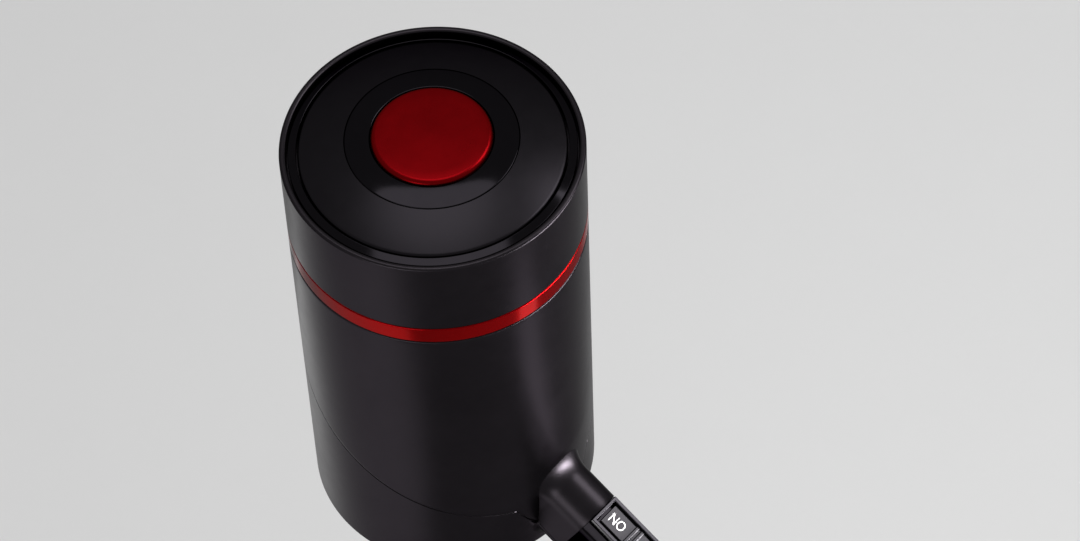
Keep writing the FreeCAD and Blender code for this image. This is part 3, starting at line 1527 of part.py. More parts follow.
def make_plug():
    """Ribbed silicone plug with its flange, and the hard core that it is stretched over."""
    plug = new_body("bottle_plug")
    bore = D.spigot_radius + D.seat_gap
    corners = [(bore, -D.plug_length), (D.plug_radius - D.plug_taper, -D.plug_length),
               (D.plug_radius, D.plug_tip - D.plug_length)]
    for number in reversed(range(PLUG_RIBS)):
        level = -D.seal_low - D.rib_start - D.plug_rib_pitch * number
        root = level - D.rib_width
        corners += [(D.plug_radius, root - D.rib_flank), (D.plug_rib_radius, root),
                    (D.plug_rib_radius, level), (D.plug_radius, level + D.rib_top)]
    top = BASE - D.seat_gap
    corners += [(D.plug_radius, -D.seal_low - D.seal_flank), (D.seal_radius, -D.seal_low), (D.seal_radius, 0),
                (D.flange_radius, 0), (D.flange_radius, top), (bore, top)]
    spin(plug, corners)
    soften(plug, "FlangeRound", D.flange_round, ring_edge(D.flange_radius, 0))
    make_core()


def wine_branch(core, name, kind, radius, length):
    """A round pad or pocket on the elbow's axis, square to the tower."""
    outline = add_sketch(core, f"{name}Outline", "XZ_Plane", circles=[(0, ELBOW, radius)])
    feature = core.newObject(f"PartDesign::{kind}", name)
    feature.Profile = outline
    feature.Length = size(length).value
    bind(feature, "Length", length)
    feature.Reversed = kind == "Pocket"
    return feature


def make_core():
    """Plug core: spigot, flange, elbow tower with its wine nipple, and the air nipple."""
    core = new_body("plug_core")
    low = -D.plug_length - D.barb_drop
    flange_low = PAD_TOP + D.seat_gap
    flange_top = PAD_TOP + D.core_flange_thick
    tower_top = ELBOW + D.wine_tube_radius + D.tower_cap
    tube_fit = D.upper_tube_radius + D.seat_gap
    ring_low = flange_top + D.gland_lift
    ring_high = ring_low + D.gland_width
    ring_out = tube_fit + D.gland_depth
    seat = ring_low + D.tube_seat
    air_top = flange_low + D.air_room
    spin(core, [
        (D.air_bore, low), (D.spigot_radius, low), (D.spigot_radius + D.barb_rise, low + D.barb_length),
        (D.spigot_radius, low + D.barb_length * 2), (D.spigot_radius, flange_low),
        (D.core_flange, flange_low), (D.core_flange, flange_top), (D.core_neck, flange_top),
        (D.core_neck, tower_top - D.tower_chamfer), (D.core_neck - D.tower_chamfer, tower_top),
        (0, tower_top), (0, ELBOW + D.elbow_tip), (D.wine_bore, ELBOW - D.elbow_cone),
        (D.wine_bore, seat), (tube_fit, seat), (tube_fit, ring_high), (ring_out, ring_high),
        (ring_out, ring_low), (tube_fit, ring_low), (tube_fit, air_top), (D.air_bore, air_top),
    ])
    wine_branch(core, "Nipple", "Pad", D.wine_tube_radius, D.wine_nipple_reach)
    wine_branch(core, "NippleBore", "Pocket", D.wine_bore, D.wine_nipple_reach + PAST)
    channel = flange_low + D.channel_low
    prism(core, "AirNipple", flange_low + D.air_nipple_bite, D.core_flange_thick + D.air_nipple_rise,
          circles=[(*AIR_LINE, D.air_nipple_radius)])
    prism(core, "AirBore", channel, D.core_flange_thick + D.air_nipple_rise + PAST,
          circles=[(*AIR_LINE, D.port_bore)], kind="Pocket")
    x, y = AIR_LINE
    reach = math.hypot(x.value, y.value)
    ahead = Vector(x.value, y.value, 0) / reach
    side = Vector(-ahead.y, ahead.x, 0) * D.air_channel.value
    near = ahead * (D.air_bore - D.channel_bite).value
    far = ahead * reach
    corners = [near - side, far - side, far + side, near + side]
    prism(core, "AirChannel", channel, D.channel_deep, loops=[[(p.x, p.y) for p in corners]], kind="Pocket")
    prism(core, "ScrewHoles", flange_low - PAST, D.core_flange_thick + 2 * PAST, kind="Pocket",
          circles=[(sx, sy, D.small_hole) for sx, sy in core_screw_places()])
    ring = new_body("core_o_ring")
    play = D.seat_gap * 2
    spin(ring, [(tube_fit, ring_low + play), (ring_out - play, ring_low + play),
                (ring_out - play, ring_high - play), (tube_fit, ring_high - play)])
    return core


def make_dip_tube():
    """Telescopic steel tube, collapsed, with its gland below and the slotted foot."""
    play = D.seat_gap * 2
    top = PAD_TOP + D.core_flange_thick + D.gland_lift + D.tube_seat - play
    tube("dip_tube_upper", D.upper_tube_radius - D.tube_wall, D.upper_tube_radius, -D.upper_tube_low, top)
    guide = D.lower_tube_radius + D.slide_gap
    low = -D.upper_tube_low - D.bush_seat
    high = low + D.bush_length
    step = low + D.bush_seat - D.seat_gap
    seat = D.upper_tube_radius + D.seat_gap
    groove = guide + D.bush_groove_deep
    groove_low, groove_high = low + D.bush_groove_low, low + D.bush_groove_high
    bush = new_body("tube_end_bush")
    spin(bush, [(guide, low), (D.bush_radius - D.bush_bevel, low), (D.bush_radius, low + D.bush_bevel_length),
                (D.bush_radius, high), (seat, high), (seat, step), (guide, step), (guide, groove_high),
                (groove, groove_high), (groove, groove_low), (guide, groove_low)])
    tube("tube_o_ring", guide, groove - D.seat_gap, groove_low + play, groove_high - play)
    lower_low = -D.upper_tube_low - D.tube_stand
    lower_top = lower_low + D.lower_tube_length
    tube("dip_tube_lower", D.lower_tube_radius - D.tube_wall, D.lower_tube_radius, lower_low, lower_top)
    tube("tube_stop_ring", D.lower_tube_radius + D.press_gap,
         D.upper_tube_radius - D.tube_wall - D.running_gap,
         lower_top - D.stop_ring_low, lower_top - D.stop_ring_high)
    foot_top = lower_low + D.foot_grip
    foot_low = foot_top - D.foot_length
    shelf = lower_low - D.seat_gap
    fit = D.lower_tube_radius + D.foot_press
    inner = D.lower_tube_radius - D.foot_bore
    foot = new_body("inlet_foot")
    spin(foot, [(inner, foot_low), (D.foot_radius - D.foot_bevel, foot_low),
                (D.foot_radius, foot_low + D.foot_bevel_length), (D.foot_radius, foot_top),
                (fit, foot_top), (fit, shelf), (inner, shelf)])
    half, reach = D.slot_half, D.slot_reach
    apart = half + play
    crossing = [rectangle(-half, -reach, half, -apart), rectangle(-half, apart, half, reach)]
    prism(foot, "Slots", foot_low - PAST, D.slot_depth, kind="Pocket",
          loops=[rectangle(-reach, -half, reach, half)])
    prism(foot, "CrossSlots", foot_low - PAST, D.slot_depth, loops=crossing, kind="Pocket")


def on_channel(label, along=0):
    """A body whose Z runs down the wine channel, X across and Y square to it."""
    body = new_body(label)
    back = CHANNEL_BACK - COS * along if isinstance(along, Size) else CHANNEL_BACK
    level = CHANNEL_HEIGHT - SIN * along if isinstance(along, Size) else CHANNEL_HEIGHT
    place(body, 0, back, level, Vector(1, 0, 0), D.spout_tilt + 90)
    return body


def hose_solid(path, start, radius):
    """A round rod that follows a path."""
    ring = Part.Wire([Part.makeCircle(radius, start, Vector(0, -1, 0))])
    return path.makePipeShell([ring], True, False)


def make_wine_line():
    """Hose from the elbow, rigid tube through the spout and the venturi core."""
    half_turn = math.radians(D.spout_tilt.value) / 2
    bend = D.bend_radius.value
    trim = bend * math.tan(half_turn)
    reach = BEND_REACH.value
    level = ELBOW.value
    down = Vector(0, -COS.value, -SIN.value)
    start = Vector(0, -D.hose_start.value, level)
    first = Vector(0, -reach + trim, level)
    corner = Vector(0, -reach, level)
    last = corner + down * trim
    end = last + down * D.hose_end.value
    out = (Vector(0, 1, 0) + down).normalize()
    middle = corner + out * (bend / math.cos(half_turn) - bend)
    path = Part.Wire([Part.LineSegment(start, first).toShape(), Part.Arc(first, middle, last).toShape(),
                      Part.LineSegment(last, end).toShape()])
    bore = D.wine_tube_radius + D.seat_gap
    outer = hose_solid(path, start, (bore + D.hose_wall).value)
    moulded("wine_hose", outer.cut(hose_solid(path, start, bore.value)))
    channel = Vector(0, CHANNEL_BACK.value, CHANNEL_HEIGHT.value)
    pipe_start = size((last + down * D.pipe_lap.value - channel).Length)
    pipe = on_channel("spout_tube")
    core_start = D.neck_reach + D.core_place
    core_end = core_start + D.core_length
    seat = core_start + D.core_seat
    pipe_end = seat - D.seat_gap
    spin(pipe, [(D.wine_bore, pipe_start), (D.wine_tube_radius, pipe_start),
                (D.wine_tube_radius, pipe_end), (D.wine_bore, pipe_end)])
    core = on_channel("aerator_core")
    spin(core, [(bore, core_start), (D.core_radius, core_start), (D.core_radius, core_end),
                (D.wine_bore, core_end), (D.throat_radius, core_end - D.throat_end),
                (D.throat_radius, core_start + D.throat_start), (D.wine_bore, seat), (bore, seat)])
    outline = add_sketch(core, "AirPortOutline", "XZ_Plane", circles=[(0, AIR_PORT, D.air_port_radius)])
    port = core.newObject("PartDesign::Pocket", "AirPort")
    port.Profile = outline
    port.Length = 2 * D.core_radius.value
    bind(port, "Length", D.core_radius * 2)
    return core


AIR_PORT = D.neck_reach + D.air_port_place
TIP_START = D.neck_reach + D.hairline
TIP_END = D.neck_reach + D.tip_length
NOZZLE_LEVEL = CHANNEL_HEIGHT - (NOZZLE_REACH + CHANNEL_BACK) * D.spout_tilt.tan()


def spout_box(width, low, high, start, end):
    """A box square to the spout, across its mid plane."""
    width, low, high, start, end = (size(value).value for value in (width, low, high, start, end))
    block = Part.makeBox(width, high - low, end - start, Vector(-width / 2, low, start))
    block.Placement = FreeCAD.Placement(Vector(0, 0, SPOUT.value),
                                        FreeCAD.Rotation(Vector(1, 0, 0), 90 + D.spout_tilt.value))
    return block


def channel_rod(radius, start, end):
    start, end = size(start).value, size(end).value
    axis = spout_point(0, 0, 1) - spout_point(0, 0, 0)
    return Part.makeCylinder(size(radius).value, end - start,
                             spout_point(0, -D.channel_drop.value, start), axis)


WINDOW_START = D.neck_reach + D.frame_strip
WINDOW_END = WINDOW_START + D.slider_clear + D.slider_length + D.slider_travel + D.seat_gap * 2
FRAME_END = WINDOW_END + D.frame_strip
SLIDER_START = WINDOW_START + D.slider_clear
# The tip's depth shrinks slowly at first, then faster
TIP_CURVE = 1.5


def make_spout_tip():
    """Gloss end of the spout: it narrows downwards, carries the switch and turns the wine down."""
    step = D.tip_step.value
    play = D.seat_gap * 2
    radius = D.spout_radius.value - step
    depth = D.spout_depth.value - step
    start, end = TIP_START.value, TIP_END.value
    wires = []
    for share in (0.0, 0.5, 1.0):
        end_radius = radius + (D.tip_end_radius.value - radius) * share
        end_depth = depth + (D.tip_end_depth.value - depth) * share ** TIP_CURVE
        wires.append(spout_section(start + (end - start) * share, end_radius, end_depth, radius - end_radius,
                                   D.corner_radius.value - D.tip_corner_loss.value * share))
    tip = Part.makeLoft(wires, True)
    face = spout_point(0, 0, end)
    along = spout_point(0, 0, 1) - spout_point(0, 0, 0)
    far_edges = [edge for edge in tip.Edges
                 if all((vertex.Point - face).dot(along) > -OVERLAP for vertex in edge.Vertexes)]
    tip = tip.makeFillet(D.tip_round.value, far_edges)
    collar = spout_prism(start - D.collar_length.value, start + D.collar_bite.value,
                         (D.spout_wall + play).value)
    collar = collar.cut(channel_rod(D.wine_tube_radius + D.free_gap, 0, TIP_START + PAST))
    tip = tip.fuse(collar)
    seat = spout_box(D.frame_width + D.guide_gap, D.deck_rise, 2 * D.spout_radius, 0, FRAME_END + play)
    gate_start = SLIDER_START + D.gate_place
    gate = spout_box(D.gate_width, D.gate_low, D.deck_rise + PAST, gate_start,
                     gate_start + D.gate_length + D.slider_travel)
    core_start = D.neck_reach + D.core_place
    core_end = core_start + D.core_length + D.seat_gap
    bore = channel_rod(D.core_radius + D.seat_gap, core_start - play, core_end)
    nozzle_along = (NOZZLE_REACH + CHANNEL_BACK) / COS
    passage = channel_rod(D.wine_bore, core_end - PAST, nozzle_along + PAST)
    tube_way = channel_rod(D.wine_tube_radius + D.seat_gap, 0, core_start)
    port = Part.makeCylinder(D.air_port_radius.value, D.air_port_reach.value,
                             spout_point(0, -D.channel_drop.value, AIR_PORT.value),
                             spout_point(0, 1, 0) - spout_point(0, 0, 0))
    well = Part.makeCylinder((D.nozzle_radius + D.seat_gap).value, D.nozzle_length.value * 4,
                             Vector(0, -NOZZLE_REACH.value, (NOZZLE_LEVEL + D.nozzle_well).value),
                             Vector(0, 0, -1))
    return moulded("spout_tip", tip.cut([seat, gate, bore, passage, tube_way, port, well]))


def on_spout(label):
    """A body in the spout's own frame: X across, Y above its axis, Z along it."""
    body = new_body(label)
    place(body, 0, 0, SPOUT, Vector(1, 0, 0), D.spout_tilt + 90)
    return body


def across(body, name, width, low, high, start, end, kind="Pad"):
    """A block or a cut of a width, between two rises and two places along the spout."""
    return prism(body, name, start, size(end) - start, loops=[centred(width, low, high)], kind=kind)


def make_switch():
    """Bright frame let into the spout, the slider in it and the rubber gate under the slider."""
    frame = on_spout("switch_frame")
    low = D.deck_rise + D.seat_gap
    lip = D.frame_top - D.slider_lip
    across(frame, "Block", D.frame_width, low, D.frame_top, TIP_START, FRAME_END)
    across(frame, "Relief", D.slider_flange + D.guide_gap * 2, low - PAST, lip, WINDOW_START, WINDOW_END,
           "Pocket")
    across(frame, "Window", D.frame_width - D.frame_strip * 2, low - PAST, D.frame_top + PAST,
           WINDOW_START, WINDOW_END, "Pocket")
    slider = on_spout("aeration_slider")
    end = SLIDER_START + D.slider_length
    rest = D.deck_rise + D.slider_lift
    across(slider, "Runner", D.slider_flange, rest, lip - D.slider_lift, SLIDER_START, end)
    across(slider, "Face", D.slider_width, rest, D.slider_top, SLIDER_START, end)
    for number in range(2):
        rib = D.neck_reach + D.rib_place + D.rib_pitch * number
        across(slider, f"Rib{number}", D.slider_width, D.slider_top - D.rib_root, D.slider_top + D.rib_rise,
               rib, rib + D.rib_wide)
    peg = SLIDER_START + D.peg_place
    across(slider, "Peg", D.peg_width, D.peg_low, rest + D.guide_gap, peg, peg + D.peg_length)
    gate = on_spout("air_gate_pad")
    pad = SLIDER_START + D.pad_place
    across(gate, "Pad", D.pad_width, D.pad_low, D.peg_low - D.seat_gap, pad, pad + D.pad_length)


def make_nozzle():
    """Turned nozzle below the spout's tip, with the sieve that breaks up the stream."""
    level = NOZZLE_LEVEL
    low = level - D.nozzle_drop - D.nozzle_foot
    seat = level - D.nozzle_seat
    body = new_body("nozzle_insert", (0, -NOZZLE_REACH))
    outer, bore = D.nozzle_radius, D.nozzle_bore
    spin(body, [(bore, low), (outer - D.nozzle_bevel, low), (outer, low + D.nozzle_bevel_length),
                (outer, seat), (bore + D.nozzle_bevel, seat), (bore, level - D.nozzle_throat)])
    sieve = new_body("aerator_screen", (0, -NOZZLE_REACH))
    prism(sieve, "Disc", low + D.sieve_place, D.sieve_thick, circles=[(0, 0, bore - D.seat_gap)])
    holes = [(0, 0, D.sieve_hole)]
    for ring, count, first in ((D.sieve_inner_ring, 6, 0), (D.sieve_outer_ring, 12, 15)):
        for number in range(count):
            turn = math.radians(first + 360 / count * number)
            holes.append((ring.value * math.cos(turn), ring.value * math.sin(turn), D.sieve_hole))
    prism(sieve, "Holes", low, D.sieve_place + D.sieve_thick + PAST, circles=holes, kind="Pocket")


def make_charge_port():
    """Charge socket on its small board, and the hinged cover over it."""
    board = new_body("charge_board")
    prism(board, "Plate", PORT_UNDER + D.seat_gap, D.port_board_thick,
          loops=[centred(D.port_width + D.port_board_wing, D.port_board_front,
                         D.head_radius - D.port_board_back)])
    prism(board, "Holes", PORT_UNDER - PAST, D.port_board_thick + 2 * PAST, kind="Pocket",
          circles=[(x, y, D.small_hole) for x, y in PORT_POSTS])
    outer = port_block(0.0, (COVER_FLOOR - D.port_start - D.port_shell).value)
    inner = port_block(-D.port_shell.value, 2 * D.head_radius.value)
    inner.translate(Vector(0, D.port_back.value, 0))
    half, start = D.contact_width / 2, D.port_start + D.guide_gap
    tongue = box(-half, half, start, start + D.contact_length,
                 PORT_LEVEL - D.contact_thick / 2, PORT_LEVEL + D.contact_thick / 2)
    moulded("charge_port", outer.cut(inner).fuse(tongue))
    width = D.cover_width - D.hairline * 2
    reach = D.head_radius.value
    plate = box(-width / 2, width / 2, COVER_FLOOR + D.seat_gap * 2, 2 * D.head_radius, KNUCKLE,
                COVER_LOW + D.cover_tall - D.hairline)
    scoop_level = (COVER_LOW + D.cover_tall + D.scoop_rise).value
    scoop = Part.makeCylinder(D.scoop_radius.value, 2 * reach, Vector(0, 0, scoop_level), Vector(0, 1, 0))
    scoop = scoop.cut(Part.makeCylinder(reach - D.scoop_depth.value, RIM.value))
    plate = plate.common(Part.makeCylinder(reach, RIM.value)).cut(scoop)
    knuckle = cross_rod(D.knuckle_radius, width)
    moulded("port_cover", plate.fuse(knuckle).cut(cross_rod(D.port_pin_radius + D.seat_gap, width * 2)))
    pin = DOC.addObject("Part::Cylinder", "PortHingePin")
    bind(pin, "Radius", D.port_pin_radius)
    bind(pin, "Height", D.cover_width + D.pin_reach * 2)
    place(pin, -(D.cover_width / 2 + D.pin_reach), KNUCKLE_BACK, KNUCKLE, Vector(0, 1, 0), 90)
    node(pin, "port_hinge_pin")


def build():
    make_upper_housing()
    make_red_band()
    make_bevel_ring()
    make_top_plate()
    make_button_bezel()
    make_power_button()
    make_button_membrane()
    make_tact_switch()
    make_control_board()
    make_main_housing()
    make_base_shell()
    make_spout_tip()
    make_switch()
    make_nozzle()
    make_wine_line()
    make_plug()
    make_dip_tube()
    make_chassis()
    make_battery()
    make_motor()
    make_wobble_drive()
    make_pump()
    make_air_line()
    make_charge_port()
    make_screws()
    DOC.recompute()


def check():
    """Stop on any failed feature or empty shape."""
    for item in DOC.Objects:
        if {"Invalid", "Error"} & set(item.State):
            raise RuntimeError(f"{item.Label}: {item.State}")
    for item in NODES:
        if item.Shape.isNull() or not item.Shape.isValid() or not item.Shape.Solids:
            raise RuntimeError(f"{item.Label}: bad shape")


def write():
    os.makedirs("parts", exist_ok=True)
    for item in NODES:
        item.Shape.exportStep(f"parts/{item.Label}.step")
        print(item.Label, len(item.Shape.Solids), round(item.Shape.Volume, 1))


build()
check()
write()
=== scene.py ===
import json
import math

import bmesh
import bpy
import numpy as np
from mathutils import Matrix, Vector


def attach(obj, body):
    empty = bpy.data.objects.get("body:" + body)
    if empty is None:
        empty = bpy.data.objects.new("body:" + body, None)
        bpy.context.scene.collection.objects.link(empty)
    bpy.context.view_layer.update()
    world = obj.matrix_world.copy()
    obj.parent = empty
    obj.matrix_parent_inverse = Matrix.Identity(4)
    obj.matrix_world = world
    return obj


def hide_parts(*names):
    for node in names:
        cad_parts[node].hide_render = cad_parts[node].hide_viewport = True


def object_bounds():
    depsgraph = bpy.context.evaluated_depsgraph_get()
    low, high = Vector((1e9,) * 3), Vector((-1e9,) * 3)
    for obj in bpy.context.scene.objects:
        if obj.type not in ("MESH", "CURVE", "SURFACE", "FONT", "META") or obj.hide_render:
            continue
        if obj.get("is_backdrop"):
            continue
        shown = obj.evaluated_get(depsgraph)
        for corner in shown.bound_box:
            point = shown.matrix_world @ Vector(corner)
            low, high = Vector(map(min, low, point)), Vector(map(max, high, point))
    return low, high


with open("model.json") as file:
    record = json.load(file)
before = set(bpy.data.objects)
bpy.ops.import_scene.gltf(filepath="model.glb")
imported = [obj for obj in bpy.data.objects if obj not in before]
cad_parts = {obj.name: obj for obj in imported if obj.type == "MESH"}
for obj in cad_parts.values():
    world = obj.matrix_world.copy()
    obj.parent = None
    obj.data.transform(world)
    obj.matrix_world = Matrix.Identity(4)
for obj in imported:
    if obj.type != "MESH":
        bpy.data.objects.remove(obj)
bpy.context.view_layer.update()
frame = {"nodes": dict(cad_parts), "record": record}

bl_info = {
    "name": "Electric wine aerator dispenser",
    "version": (1, 0, 0),
    "blender": (4, 5, 0),
    "location": "View3D > Sidebar > Dispenser",
    "description": "Builds the surfaces, finishes and studio of an electric wine aerator dispenser",
    "category": "Add Mesh",
}

MM = 0.001

# Points and rows along each kind of curve
TURN_COLUMNS = 288
PROFILE_STEPS = 10
FACE_STEPS = 40
PLATE_EDGE_STEPS = 8
BEZEL_EDGE_STEPS = 6
SEAM_STEPS = 12
SEAM_PASSES = 3
SHELL_COLUMNS = 360
SHELL_ROWS = 72
SHELL_ROUND_ROWS = 5
SECTION_ARC_POINTS = 61
SECTION_SIDE_POINTS = 9
FLARE_ROWS = 37
NECK_ROWS = 10
NECK_ROUND_ROWS = 4
PLUG_RIBS = 4
# The shell's columns stand closer over the spout than at the back
SHELL_PACKING = 1.25
# How much of the flare goes to the neck's sides; the rest lifts its top
FLARE_SHARE = 0.9
# Degrees of the flare's arc
FLARE_TURN = 60
# How far the neck's end stands out, as a share of its round
NECK_LIP = 0.4
# Edges sharper than these angles in degrees stay creases
CREASE = 40.0
TURNED_CREASE = 35.0
PLUG_CREASE = 50.0
MERGED_CREASE = 32.0
LETTER_CREASE = 30.0
# Points nearer than this are one: in a profile in millimetres, and in a solid part
SAME_PLACE = 0.001
WELD = 0.002 * MM
# Faces of a solid part that meet at less than this in degrees are one
FLAT_ANGLE = 0.1
BEVEL_STEPS = 3
# A corner belongs to the head's wall within this distance, and its face leans less than this
WALL_NEAR = 0.05 * MM
WALL_LEAN = 0.2
# Steps round and up the wall over which its slope is taken
SMALL_TURN = 0.001
SMALL_RISE = MM
# The letters' paint: its thickness, and how much of it stands on the slider
PAINT_THICK = 0.015 * MM
PAINT_LIFT = 0.3
# The broad and the middle mottle of a finish: cells per metre, finer layers and strength
BROAD_CELLS, BROAD_DETAIL, BROAD_SHARE = 70.0, 4.0, 1.2
MIDDLE_CELLS, MIDDLE_DETAIL, MIDDLE_SHARE = 420.0, 3.0, 0.8
GRAIN_DETAIL = 2.0
COAT_ROUGHNESS = 0.05
# How far light that enters a finish spreads in it
LIGHT_SPREAD = 2 * MM
# Solid parts whose finish isn't their material slot's own
NODE_LOOKS = {"port_hinge_pin": "satin_black"}

# The photograph's camera: turn, fall and roll in degrees, place from the rim's centre and lens in
# millimetres, and how near and how far it sees in metres
CAMERA_TURN, CAMERA_FALL, CAMERA_ROLL = 2.383, 54.329, -2.461
CAMERA_PLACE = (0, -461.844, 601.039)
CAMERA_LENS, CAMERA_SENSOR = 134.25, 36.0
CAMERA_NEAR, CAMERA_FAR = 0.01, 50.0
# The camera stands this many degrees round from the spout
OBJECT_TURN = -45

# Lights: widths, leans and turns in degrees
WORLD_LIGHT = 0.30
BACKDROP_LIGHT = 0.8
SUN_STRENGTH, SUN_WIDTH = 1.1, 34
SUN_LEAN, SUN_TURN = 12, 45
# The soft boxes look at this height on the axis, in metres
LAMP_AIM = 0.03
HALF_TURN = 180
# Each box: azimuth and elevation in degrees, distance, width and height in metres, radiance, spread
LAMPS = {
    "low_left_light": (-126, -42, 0.155, 0.26, 0.14, 1.8, HALF_TURN),
    "low_front_light": (14, -39, 0.131, 0.03, 0.06, 5.0, HALF_TURN),
    "front_light": (26, -2, 0.30, 0.28, 0.09, 110.0, 60),
    "left_light": (-74, 4, 0.45, 0.25, 0.22, 5.0, 90),
    "right_light": (56, 46, 0.6, 0.26, 0.3, 8.0, HALF_TURN),
}


# Sizes and colours


def length(name, description, millimetres):
    """A length property whose default is given in millimetres."""
    return bpy.props.FloatProperty(name=name, description=description, default=millimetres * MM,
                                   min=0.0, precision=5, subtype="DISTANCE", unit="LENGTH")


def angle(name, description, degrees):
    """An angle property whose default is given in degrees."""
    return bpy.props.FloatProperty(name=name, description=description, default=math.radians(degrees),
                                   subtype="ANGLE", unit="ROTATION")


def colour(name, description, red, green, blue):
    """A linear colour property."""
    return bpy.props.FloatVectorProperty(name=name, description=description, size=3, min=0.0, max=1.0,
                                         default=(red, green, blue), subtype="COLOR")


